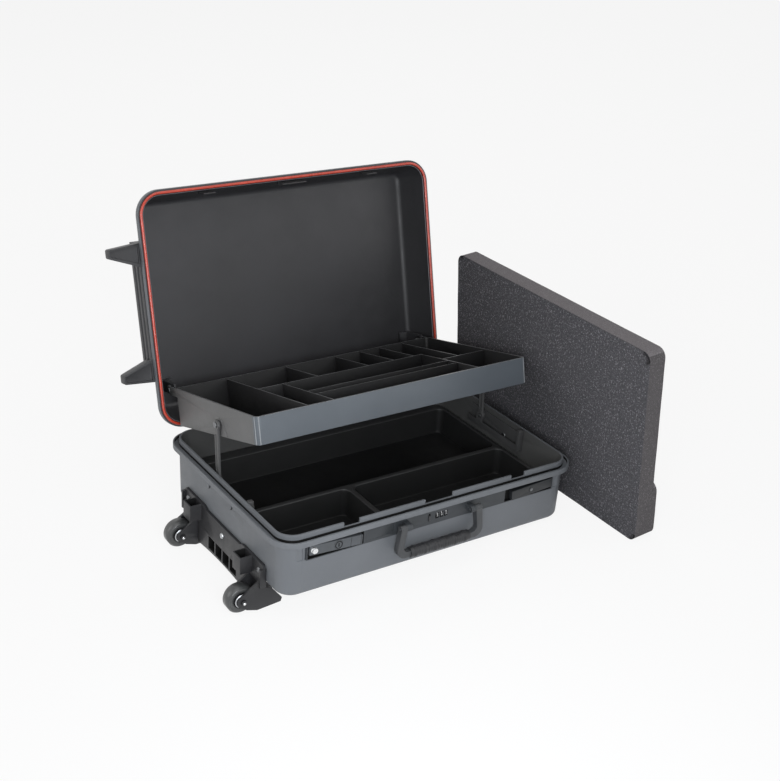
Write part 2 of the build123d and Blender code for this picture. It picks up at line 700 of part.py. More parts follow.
def knuckles(turn, wall_y, foot_z, rim_z):
    """Every second knuckle with its leaf; foot_z is the far end of the leaf."""
    lower, upper = min(foot_z, rim_z), max(foot_z, rim_z)
    foot_mid = foot_z + (leaf_foot / 2 if foot_z < rim_z else -leaf_foot / 2)
    for side in (-1, 1):
        for n in range(turn, knuckle_count, 2):
            x = side * hinge_offset + first + n * pitch
            with Locations(Location((x, hinge_y, hinge_z), (0, 90, 0))):
                Cylinder(knuckle_diameter / 2, knuckle_length)
            leaf_in = case_width / 2 + fit
            with Locations((x, leaf_in, (foot_z + hinge_z) / 2)):
                Box(knuckle_length, leaf_thick, abs(hinge_z - foot_z),
                    align=(Align.CENTER, Align.MIN, Align.CENTER))
            with Locations((x, wall_y, foot_mid)):
                Box(knuckle_length, leaf_in + leaf_thick - wall_y, leaf_foot,
                    align=(Align.CENTER, Align.MIN, Align.CENTER))
            bore = hinge_pin_diameter / 2 + (running if turn else seated)
            with Locations(Location((x, hinge_y, hinge_z), (0, 90, 0))):
                Cylinder(bore, 2 * knuckle_length, mode=Mode.SUBTRACT)


with BuildPart() as base_leaves:
    knuckles(0, body_half_y + fit, base_height - fit - leaf_foot, rim_top)
keep(base_leaves, "base_hinge_leaves")

with BuildPart() as lid_leaves:
    knuckles(1, case_width / 2 - lid_shoulder + fit, lid_wall_foot + fit + leaf_foot, lid_base)
keep(lid_leaves, "lid_hinge_leaves", lid_pose)

with BuildPart() as hinge_pins:
    for side in (-1, 1):
        with Locations(Location((side * hinge_offset, hinge_y, hinge_z), (0, 90, 0))):
            Cylinder(hinge_pin_diameter / 2, pitch * knuckle_count + 2)
keep(hinge_pins, "hinge_pins")


# Wheel truck: back plate, two sockets and two wheel forks that run under the case
plate_x = -(wall_at(plate_top) + fit)
plate_half = truck_width / 2
fork_inner = wheel_width / 2 + cheek_gap
screw_places = ((screw_inset - plate_half, screw_heights[0]), (0, screw_heights[1]),
                (plate_half - screw_inset, screw_heights[0]))
socket_x = plate_x - truck_plate - socket_length / 2
skirt_half = wheel_spacing / 2 - fork_inner - cheek - 2.5

with BuildPart() as wheel_truck:
    with BuildSketch(Plane.YZ.offset(plate_x)):
        with BuildLine():
            top_in = socket_spacing / 2 - socket_width
            low_top = plate_top - plate_step
            Polyline((0, low_top), (top_in - plate_notch, low_top), (top_in, plate_top),
                     (plate_half - 5, plate_top), (plate_half, plate_top - 5), (plate_half, plate_end_low),
                     (skirt_half, plate_end_low), (skirt_half, skirt_end_low))
            arch_mid = (skirt_low * 0.7 + skirt_end_low * 0.3)
            ThreePointArc((skirt_half, skirt_end_low), (skirt_half * 0.55, arch_mid), (0, skirt_low))
            Line((0, skirt_low), (0, low_top))
        make_face()
        mirror(about=Plane.YZ)
    extrude(amount=-truck_plate)
    # the skirt under the case, with a row of deep pockets
    with Locations((plate_x, 0, plate_end_low)):
        Box(skirt_depth - truck_plate, 2 * skirt_half, plate_end_low - skirt_low,
            align=(Align.MIN, Align.CENTER, Align.MAX))
    for n in range(pocket_count):
        pocket_y = (n - (pocket_count - 1) / 2) * pocket_pitch
        with Locations((plate_x - truck_plate, pocket_y, (pocket_low + pocket_high) / 2)):
            Box(skirt_depth - 2, pocket_pitch - pocket_rib, pocket_high - pocket_low,
                align=(Align.MIN, Align.CENTER, Align.CENTER), mode=Mode.SUBTRACT)
    for side in (-1, 1):
        with Locations((plate_x - truck_plate, side * (plate_half - end_post / 2), plate_end_low)):
            Box(end_post_proud, end_post, plate_top - 5 - plate_end_low,
                align=(Align.MAX, Align.CENTER, Align.MIN))
        with Locations((plate_x - 1, side * socket_spacing / 2, socket_top)):
            Box(truck_plate - 1 + socket_length + socket_wall, socket_width + 2 * socket_wall,
                socket_depth + 3, align=(Align.MAX, Align.CENTER, Align.MAX))
        with Locations((socket_x, side * socket_spacing / 2, socket_top)):
            Box(socket_length, socket_width, socket_depth, align=(Align.CENTER, Align.CENTER, Align.MAX),
                mode=Mode.SUBTRACT)
        for out in (-1, 1):
            cheek_y = side * wheel_spacing / 2 + out * (fork_inner + cheek / 2)
            with BuildSketch(Plane.XZ.offset(-cheek_y - cheek / 2)):
                with Locations((wheel_x, -wheel_drop)):
                    Circle(cheek_round)
                with BuildLine():
                    Polyline((wheel_x - 3, -wheel_drop + cheek_round - 0.7), (plate_x - truck_plate - 1, 0),
                             (plate_x - truck_plate, 5), (plate_x, 5), (plate_x, plate_end_low - 1),
                             (plate_x + 7, -12), (plate_x + 15, -14), (plate_x + 32, -35), (plate_x + 30, -41),
                             (plate_x - 6, -44), (wheel_x + 5, -wheel_drop - cheek_round - 4.5),
                             (wheel_x - 1, -wheel_drop - cheek_round + 0.1), close=True)
                make_face()
            extrude(amount=cheek)
        with Locations((plate_x + 2, side * wheel_spacing / 2, plate_end_low - 1)):
            Box(4, 2 * fork_inner + 1, 36, align=(Align.CENTER, Align.CENTER, Align.MAX))
        with Locations((plate_x + 16, side * wheel_spacing / 2, -37.5)):
            Box(28, 2 * fork_inner + 1, 3)
    for side in (-1, 1):
        with Locations(Location((wheel_x, side * wheel_spacing / 2, -wheel_drop), (90, 0, 0))):
            Cylinder(axle_diameter / 2 + seated, 2 * (fork_inner + 2 * cheek), mode=Mode.SUBTRACT)
    for y, z in screw_places:
        with Locations(Location((plate_x, y, z), (0, 90, 0))):
            Cylinder(screw_diameter / 2 + seated, 4 * truck_plate, mode=Mode.SUBTRACT)
keep(wheel_truck, "wheel_truck")

with BuildPart() as truck_screws:
    for y, z in screw_places:
        with BuildSketch(Plane.YZ.offset(plate_x - truck_plate)):
            with Locations((y, z)):
                Circle(screw_diameter / 2)
        extrude(amount=truck_plate - 0.1)
        with BuildSketch(Plane.YZ.offset(plate_x - truck_plate)):
            with Locations((y, z)):
                Circle(screw_head / 2)
        extrude(amount=-2.2, taper=25)
keep(truck_screws, "truck_screws")

with BuildPart() as wheel_axles:
    for side in (-1, 1):
        end = fork_inner + cheek
        with Locations(Location((wheel_x, side * wheel_spacing / 2, -wheel_drop), (90, 0, 0))):
            Cylinder(axle_diameter / 2, 2 * end + 1)
        for out in (-1, 1):
            head_y = side * wheel_spacing / 2 + out * (end + 1.3)
            with Locations(Location((wheel_x, head_y, -wheel_drop), (90, 0, 0))):
                Cylinder(axle_head / 2, 2)
keep(wheel_axles, "wheel_axles")

for name, side in (("front", -1), ("rear", 1)):
    wheel_y = side * wheel_spacing / 2
    wheel_plane = Plane(origin=(wheel_x, wheel_y, -wheel_drop), x_dir=(1, 0, 0), z_dir=(0, 0, 1))
    with BuildPart() as tyre:
        with BuildSketch(wheel_plane):
            with BuildLine():
                bead, half = hub_diameter / 2 + seated, wheel_width / 2
                Polyline((bead, -half + 1), (bead, half - 1), (bead + 4, half), (wheel_radius - 2.5, half - 0.6),
                         (wheel_radius, half - 4), (wheel_radius, -half + 4), (wheel_radius - 2.5, -half + 0.6),
                         (bead + 4, -half), close=True)
            make_face()
        revolve(axis=Axis((wheel_x, wheel_y, -wheel_drop), (0, 1, 0)))
    keep(tyre, f"{name}_tyre")
    with BuildPart() as hub:
        with BuildSketch(wheel_plane):
            with BuildLine():
                bore, flange, half = axle_diameter / 2 + running, hub_diameter / 2, hub_width / 2
                Polyline((bore, -half), (bore, half), (flange - 7, half), (flange - 6, half - 3),
                         (flange - 2, half - 4), (flange, half - 2), (flange, -half + 2),
                         (flange - 2, -half + 4), (flange - 6, -half + 3), (flange - 7, -half), close=True)
            make_face()
        revolve(axis=Axis((wheel_x, wheel_y, -wheel_drop), (0, 1, 0)))
    keep(hub, f"{name}_hub")


# Lock strip let into the front wall
pocket_height = strip_top - strip_bottom - 2 * pocket_border
dial_y = strip_face - dial_proud + dial_diameter / 2
with BuildPart() as lock_strip:
    with Locations((0, strip_face, strip_middle)):
        Box(2 * (strip_half - fit), strip_thick, strip_top - strip_bottom - 2 * fit,
            align=(Align.CENTER, Align.MIN, Align.CENTER))
    for side in (-1, 1):
        with Locations((side * (pocket_out - pocket_length / 2), strip_face, strip_middle)):
            Box(pocket_length, strip_thick - pocket_floor, pocket_height, mode=Mode.SUBTRACT,
                align=(Align.CENTER, Align.MIN, Align.CENTER))
    with Locations(Location((latch_pivots[0], strip_face, strip_middle), (90, 0, 0))):
        Cylinder(key_diameter / 2 + running, 4 * strip_thick, mode=Mode.SUBTRACT)
    with Locations(Location((latch_pivots[1], strip_face, strip_middle), (90, 0, 0))):
        Cylinder(pin_diameter / 2 + seated, 4 * strip_thick, mode=Mode.SUBTRACT)
    with Locations(((plate_ends[0] + plate_ends[1]) / 2, strip_face, strip_middle)):
        Box(plate_ends[1] - plate_ends[0], 2 * plate_thick, plate_height, mode=Mode.SUBTRACT)
    # dial windows, their shared cavity and the slider's slot
    with Locations(((dial_x[0] + dial_x[-1]) / 2, strip_back, strip_middle)):
        Box(dial_x[-1] - dial_x[0] + dial_width + 1.6, strip_thick - 1.2, dial_diameter + 2,
            align=(Align.CENTER, Align.MAX, Align.CENTER), mode=Mode.SUBTRACT)
    with Locations([(x, strip_face, strip_middle) for x in dial_x]):
        Box(dial_width + 1, 4, dial_diameter - 1, mode=Mode.SUBTRACT)
    with Locations((slider_x, strip_face, strip_middle)):
        Box(slider_width + 2 * fit, 4 * strip_thick, slider_height + slider_travel + 2 * fit, mode=Mode.SUBTRACT)
    with Locations(Location(((dial_x[0] + dial_x[-1]) / 2, dial_y, strip_middle), (0, 90, 0))):
        Cylinder(spindle_diameter / 2 + seated, dial_x[-1] - dial_x[0] + dial_width + 6, mode=Mode.SUBTRACT)
    # ears for the carry handle
    for side in (-1, 1):
        ear_x = side * (handle_half - handle_leg / 2 - fit - 4)
        with BuildSketch(Plane.YZ.offset(ear_x - 4)):
            with Locations((strip_face - handle_out / 2 + 1, handle_pivot_z)):
                Rectangle(handle_out + 2, 10)
            with Locations((strip_face - handle_out, handle_pivot_z)):
                Circle(5)
        extrude(amount=8)
        with Locations(Location((ear_x, strip_face - handle_out, handle_pivot_z), (0, 90, 0))):
            Cylinder(handle_pin / 2 + seated, 20, mode=Mode.SUBTRACT)
keep(lock_strip, "lock_strip")

with BuildPart() as bare_plate:
    with Locations(((plate_ends[0] + plate_ends[1]) / 2, strip_face + plate_thick, strip_middle)):
        Box(plate_ends[1] - plate_ends[0] - fit, plate_thick, plate_height - fit,
            align=(Align.CENTER, Align.MAX, Align.CENTER))
keep(bare_plate, "blank_plate")

# Latch levers, swung a little open
latch_pose = []
dome_x = -(pocket_out - dome_out)
for index, side in enumerate((-1, 1)):
    pivot = latch_pivots[index]
    latch_x = side * (pocket_out - latch_end_gaps[index] - latch_lengths[index] / 2)
    radius = key_diameter / 2 if index == 0 else pin_diameter / 2
    with BuildPart() as latch:
        bar_face = strip_face - latch_proud[index]
        bar_depth = strip_thick - pocket_floor + latch_proud[index] - fit
        with BuildSketch(Plane.XZ.offset(-bar_face)):
            with Locations((latch_x, strip_middle)):
                RectangleRounded(latch_lengths[index], latch_height, 1.5)
            with Locations((pivot, strip_middle)):
                Circle(radius + running, mode=Mode.SUBTRACT)
        extrude(amount=-bar_depth)
        if index == 0:
            with Locations(Location((dome_x, bar_face, strip_middle), (90, 0, 0))):
                Cylinder(dome_diameter / 2 + seated, 6, mode=Mode.SUBTRACT)
    latch_pose.append(swung(latch_angle if index == 0 else -latch_angle, pivot, strip_middle))
    keep(latch, ("left_latch", "right_latch")[index], latch_pose[index])

with BuildPart() as latch_dome:
    dome_face = strip_face - latch_proud[0]
    with Locations(Location((dome_x, dome_face, strip_middle), (90, 0, 0))):
        Cylinder(dome_diameter / 2, 6)
    with BuildSketch(Plane(origin=(dome_x, dome_face, strip_middle), x_dir=(1, 0, 0), z_dir=(0, 0, 1))):
        with BuildLine():
            Line((0, 0), (dome_diameter / 2 + 1, 0))
            ThreePointArc((dome_diameter / 2 + 1, 0), (3.4, -2.0), (0, -2.8))
            Line((0, -2.8), (0, 0))
        make_face()
    revolve(axis=Axis((dome_x, 0, strip_middle), (0, 1, 0)))
keep(latch_dome, "left_latch_rivet", latch_pose[0])

with BuildPart() as right_pivot:
    with Locations(Location((latch_pivots[1], strip_back, strip_middle), (90, 0, 0))):
        Cylinder(pin_diameter / 2, strip_thick + latch_proud[1] + 0.8, align=(Align.CENTER, Align.CENTER, Align.MIN))
keep(right_pivot, "right_latch_pivot")

with BuildPart() as key_lock:
    key_face = strip_face - latch_proud[0] - 0.6
    with Locations(Location((latch_pivots[0], strip_back, strip_middle), (90, 0, 0))):
        Cylinder(key_diameter / 2, strip_back - key_face, align=(Align.CENTER, Align.CENTER, Align.MIN))
    with Locations((latch_pivots[0], key_face, strip_middle)):
        Box(1.4, 5, 5.5, mode=Mode.SUBTRACT)
    fillet(key_lock.faces().sort_by(Axis.Y)[0].edges().filter_by(GeomType.CIRCLE), 0.8)
keep(key_lock, "key_cylinder")

# Number dials on their spindle, and the slider that frees the centre catch
for index, x in enumerate(dial_x):
    with BuildPart() as dial:
        with BuildSketch(Plane.YZ.offset(x - dial_width / 2)):
            with Locations((dial_y, strip_middle)):
                RegularPolygon(dial_diameter / 2, dial_faces, major_radius=False, rotation=180 / dial_faces)
                Circle(spindle_diameter / 2 + running, mode=Mode.SUBTRACT)
        extrude(amount=dial_width)
    keep(dial, f"dial_{index + 1}")

with BuildPart() as dial_spindle:
    with Locations(Location(((dial_x[0] + dial_x[-1]) / 2, dial_y, strip_middle), (0, 90, 0))):
        Cylinder(spindle_diameter / 2, dial_x[-1] - dial_x[0] + dial_width + 5.6)
keep(dial_spindle, "dial_spindle")

with BuildPart() as lock_slider:
    low_z = strip_middle - (slider_height + slider_travel) / 2
    with Locations((slider_x, strip_face - 1.2, low_z)):
        Box(slider_width, strip_thick + 1.2 + fit, slider_height, align=(Align.CENTER, Align.MIN, Align.MIN))
    with Locations((slider_x, strip_back + fit, low_z - 1)):
        Box(slider_width + 3, 0.8, slider_height + 2, align=(Align.CENTER, Align.MIN, Align.MIN))
    fillet(lock_slider.edges().filter_by(Axis.X).group_by(Axis.Y)[0], 0.6)
keep(lock_slider, "lock_slider")

# Half-round cover behind the dials
with BuildPart() as lock_cover:
    cover_middle = (dial_x[0] + dial_x[-1]) / 2
    cover_length = dial_x[-1] - dial_x[0] + dial_width + 5
    with Locations(Location((cover_middle, dial_y, strip_middle), (0, 90, 0))):
        Cylinder(dial_diameter / 2 + 0.5 + dial_cover, cover_length)
        Cylinder(dial_diameter / 2 + 0.5, cover_length - 2 * dial_cover, mode=Mode.SUBTRACT)
    with Locations((cover_middle, strip_back, strip_middle)):
        Box(2 * cover_length, 4 * strip_thick, 4 * dial_diameter, align=(Align.CENTER, Align.MAX, Align.CENTER),
            mode=Mode.SUBTRACT)
keep(lock_cover, "lock_cover")

# Carry handle: a bow with two legs, and a ribbed grip moulded over its bar
handle_y = strip_face - handle_out
grip_z = handle_pivot_z - handle_drop
with BuildPart() as handle_bow:
    out_top = handle_half + handle_leg / 2
    in_top = handle_half - handle_leg / 2
    out_low = out_top + handle_splay
    in_low = in_top + handle_splay
    low, high = grip_z - handle_thick / 2, grip_z + handle_thick / 2
    bend_out, bend_in = 14.0, 8.0
    with BuildSketch(Plane.XZ.offset(-handle_y - handle_thick / 2)):
        with BuildLine():
            Polyline((0, low), (out_low - bend_out, low))
            ThreePointArc((out_low - bend_out, low),
                          (out_low - bend_out * 0.29, low + bend_out * 0.29), (out_low, low + bend_out))
            Polyline((out_low, low + bend_out), (out_top, handle_pivot_z), (in_top, handle_pivot_z),
                     (in_low, high + bend_in))
            ThreePointArc((in_low, high + bend_in),
                          (in_low - bend_in * 0.29, high + bend_in * 0.29), (in_low - bend_in, high))
            Polyline((in_low - bend_in, high), (0, high), (0, low))
        make_face()
        mirror(about=Plane.YZ)
    extrude(amount=handle_thick)
    for side in (-1, 1):
        with Locations(Location((side * handle_half, handle_y, handle_pivot_z), (0, 90, 0))):
            Cylinder(handle_leg / 2, handle_leg)
            Cylinder(handle_pin / 2 + running, 2 * handle_leg, mode=Mode.SUBTRACT)
keep(handle_bow, "handle_bow")

with BuildPart() as handle_grip:
    with Locations(Location((0, handle_y, grip_z), (0, 90, 0))):
        Cylinder(grip_diameter / 2, grip_length)
    for n in range(grip_ribs):
        x = (n - (grip_ribs - 1) / 2) * (grip_length - 16) / (grip_ribs - 1)
        with Locations(Location((x, handle_y, grip_z), (0, 90, 0))):
            Cylinder(grip_diameter / 2 + 0.7, 3.2)
    with Locations((0, handle_y, grip_z)):
        Box(2 * grip_length, handle_thick, handle_thick, mode=Mode.SUBTRACT)
keep(handle_grip, "handle_grip")

with BuildPart() as handle_pins:
    for side in (-1, 1):
        inner = handle_half - handle_leg / 2 - fit - 8
        with Locations(Location((side * (inner + handle_half + handle_leg / 2) / 2, handle_y, handle_pivot_z),
                                (0, 90, 0))):
            Cylinder(handle_pin / 2, handle_leg + 8 + fit)
keep(handle_pins, "handle_pins")

# Foam slab out of the lid, standing on its long edge; its lower band is thicker
with BuildPart() as foam_slab:
    with BuildSketch(Plane.YZ):
        with Locations((foam_rear - foam_length / 2, foam_height / 2)):
            RectangleRounded(foam_length, foam_height, foam_radius)
    extrude(amount=foam_thick)
    with BuildSketch(Plane.YZ.offset(foam_thick)):
        with Locations((foam_rear - foam_length / 2, foam_band / 2)):
            RectangleRounded(foam_length, foam_band, foam_radius)
    extrude(amount=foam_band_proud)
keep(foam_slab, "foam_slab", foam_pose)

print("floor tilt", stand_tilt, "foam foot", foam_x, floor_z(foam_x))
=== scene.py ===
import bpy
import bmesh
import json
import math
from mathutils import Matrix, Vector, noise


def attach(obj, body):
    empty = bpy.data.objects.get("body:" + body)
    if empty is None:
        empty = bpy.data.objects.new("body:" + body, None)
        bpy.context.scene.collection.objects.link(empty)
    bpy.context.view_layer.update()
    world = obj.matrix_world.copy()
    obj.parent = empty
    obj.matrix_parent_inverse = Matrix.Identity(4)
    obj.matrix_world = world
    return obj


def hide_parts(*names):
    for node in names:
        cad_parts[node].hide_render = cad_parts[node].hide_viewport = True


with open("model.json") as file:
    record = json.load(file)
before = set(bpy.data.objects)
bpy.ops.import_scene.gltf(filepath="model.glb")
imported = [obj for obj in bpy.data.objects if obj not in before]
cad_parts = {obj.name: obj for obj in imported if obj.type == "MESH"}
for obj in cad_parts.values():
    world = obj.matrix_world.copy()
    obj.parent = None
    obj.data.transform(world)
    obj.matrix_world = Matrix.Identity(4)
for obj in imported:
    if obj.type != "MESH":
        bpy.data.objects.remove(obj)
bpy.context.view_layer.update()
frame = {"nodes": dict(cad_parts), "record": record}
bodyOf = {node: body for body, nodes in frame["record"]["behaviour"]["bodies"].items() for node in nodes}
print("frame loaded:", len(frame["nodes"]), "nodes")


def hexColour(code):
    parts = [int(code[i:i + 2], 16) / 255 for i in (1, 3, 5)]
    return [p / 12.92 if p <= 0.04045 else ((p + 0.055) / 1.055) ** 2.4 for p in parts] + [1.0]


# a pattern's scale from its size in millimetres, to two figures
def perMetre(size):
    return float(f"{1000 / size:.2g}")


def addNode(tree, kind, sockets=None, **settings):
    node = tree.nodes.new(kind)
    for key, value in settings.items():
        setattr(node, key, value)
    for key, value in (sockets or {}).items():
        if isinstance(value, bpy.types.NodeSocket):
            tree.links.new(value, node.inputs[key])
        else:
            node.inputs[key].default_value = value
    return node


def ramp(tree, source, stops):
    node = addNode(tree, "ShaderNodeValToRGB", {"Fac": source})
    bands = node.color_ramp.elements
    while len(bands) < len(stops):
        bands.new(0.5)
    for band, (place, shade) in zip(bands, stops):
        band.position = place
        band.color = hexColour(shade) if isinstance(shade, str) else (shade, shade, shade, 1)
    return node.outputs["Color"]


def startMaterial(name):
    material = bpy.data.materials.new(name)
    material.use_nodes = True
    tree = material.node_tree
    tree.nodes.clear()
    place = addNode(tree, "ShaderNodeTexCoord").outputs["Object"]
    return material, tree, place


def endMaterial(tree, shader):
    addNode(tree, "ShaderNodeOutputMaterial", {"Surface": shader})


# what the mouldings share: the spread of tone, specks and gloss, scuffs in mm, the grain's depth in metres
moulded = {"tones": (0.3, 0.7), "specks": ((0.35, 0.93), (0.65, 1.0)), "pebbles": 0.8, "scuff": 26,
           "scuffBand": (0.35, 0.7), "gloss": (-0.05, 0.07), "depth": 0.0002, "ior": 1.54, "specular": 0.4}


# moulded plastic or rubber: cloudy tone, fine grain, faint scuffs that change the gloss
def plastic(name, look):
    material, tree, place = startMaterial(name)
    grainScale = perMetre(look["grain"])
    cloud = addNode(tree, "ShaderNodeTexNoise", {"Vector": place, "Scale": perMetre(look["cloud"]), "Detail": 4.0})
    tone = ramp(tree, cloud.outputs["Fac"], tuple(zip(moulded["tones"], (look["dark"], look["light"]))))
    grain = addNode(tree, "ShaderNodeTexNoise", {"Vector": place, "Scale": grainScale, "Detail": 2.0})
    cells = addNode(tree, "ShaderNodeTexVoronoi", {"Vector": place, "Scale": grainScale * moulded["pebbles"]},
                    feature="SMOOTH_F1")
    pebbles = addNode(tree, "ShaderNodeMath", {0: grain.outputs["Fac"], 1: cells.outputs["Distance"]},
                      operation="ADD")
    speck = ramp(tree, grain.outputs["Fac"], moulded["specks"])
    mixed = addNode(tree, "ShaderNodeMix", {0: 1.0, 6: tone, 7: speck}, data_type="RGBA", blend_type="MULTIPLY")
    scuff = addNode(tree, "ShaderNodeTexNoise", {"Vector": place, "Scale": perMetre(moulded["scuff"]),
                                                 "Detail": 6.0, "Roughness": 0.7})
    gloss = addNode(tree, "ShaderNodeMapRange", {
        "Value": scuff.outputs["Fac"],
        "From Min": moulded["scuffBand"][0], "From Max": moulded["scuffBand"][1],
        "To Min": look["rough"] + moulded["gloss"][0], "To Max": look["rough"] + moulded["gloss"][1]})
    bump = addNode(tree, "ShaderNodeBump", {"Height": pebbles.outputs[0], "Strength": look["bump"],
                                            "Distance": moulded["depth"]})
    shader = addNode(tree, "ShaderNodeBsdfPrincipled", {
        "Base Color": mixed.outputs[2], "Roughness": gloss.outputs["Result"], "Normal": bump.outputs["Normal"],
        "IOR": look.get("ior", moulded["ior"]), "Specular IOR Level": look.get("specular", moulded["specular"])})
    endMaterial(tree, shader.outputs[0])
    return material


# plated metal: faint lines drawn out along the part change its tone and gloss
def metal(name, look):
    material, tree, place = startMaterial(name)
    stretch = addNode(tree, "ShaderNodeMapping", {"Vector": place, "Scale": look["brush"]})
    lines = addNode(tree, "ShaderNodeTexNoise", {"Vector": stretch.outputs[0], "Scale": perMetre(look["line"]),
                                                 "Detail": 3.0})
    tone = ramp(tree, lines.outputs["Fac"], ((0.3, look["dark"]), (0.7, look["light"])))
    gloss = addNode(tree, "ShaderNodeMapRange", {"Value": lines.outputs["Fac"], "To Min": look["rough"] - 0.06,
                                                 "To Max": look["rough"] + 0.08})
    bump = addNode(tree, "ShaderNodeBump", {"Height": lines.outputs["Fac"], "Strength": 0.15, "Distance": 0.0001})
    shader = addNode(tree, "ShaderNodeBsdfPrincipled", {
        "Base Color": tone, "Metallic": 1.0, "Roughness": gloss.outputs["Result"],
        "Normal": bump.outputs["Normal"]})
    endMaterial(tree, shader.outputs[0])
    return material


# open-cell foam: dark pores and pale flecks where cut cells catch the light
def foam(name, look):
    material, tree, place = startMaterial(name)
    cells = addNode(tree, "ShaderNodeTexVoronoi", {"Vector": place, "Scale": perMetre(look["cell"]),
                                                   "Randomness": 1.0})
    flecks = addNode(tree, "ShaderNodeTexNoise", {"Vector": place, "Scale": perMetre(look["fleck"]),
                                                  "Detail": 5.0, "Roughness": 0.75})
    tone = ramp(tree, cells.outputs["Distance"], ((0.15, look["pore"]), (0.45, look["base"])))
    spots = ramp(tree, flecks.outputs["Fac"], ((0.54, 0.0), (0.66, 1.0)))
    mixed = addNode(tree, "ShaderNodeMix", {0: spots, 6: tone, 7: hexColour(look["pale"])}, data_type="RGBA")
    height = addNode(tree, "ShaderNodeMath", {0: cells.outputs["Distance"], 1: flecks.outputs["Fac"]},
                     operation="ADD")
    bump = addNode(tree, "ShaderNodeBump", {"Height": height.outputs[0], "Strength": 0.7, "Distance": 0.0008})
    shader = addNode(tree, "ShaderNodeBsdfPrincipled", {
        "Base Color": mixed.outputs[2], "Roughness": 0.95, "Normal": bump.outputs["Normal"], "IOR": 1.5,
        "Specular IOR Level": 0.15})
    endMaterial(tree, shader.outputs[0])
    return material


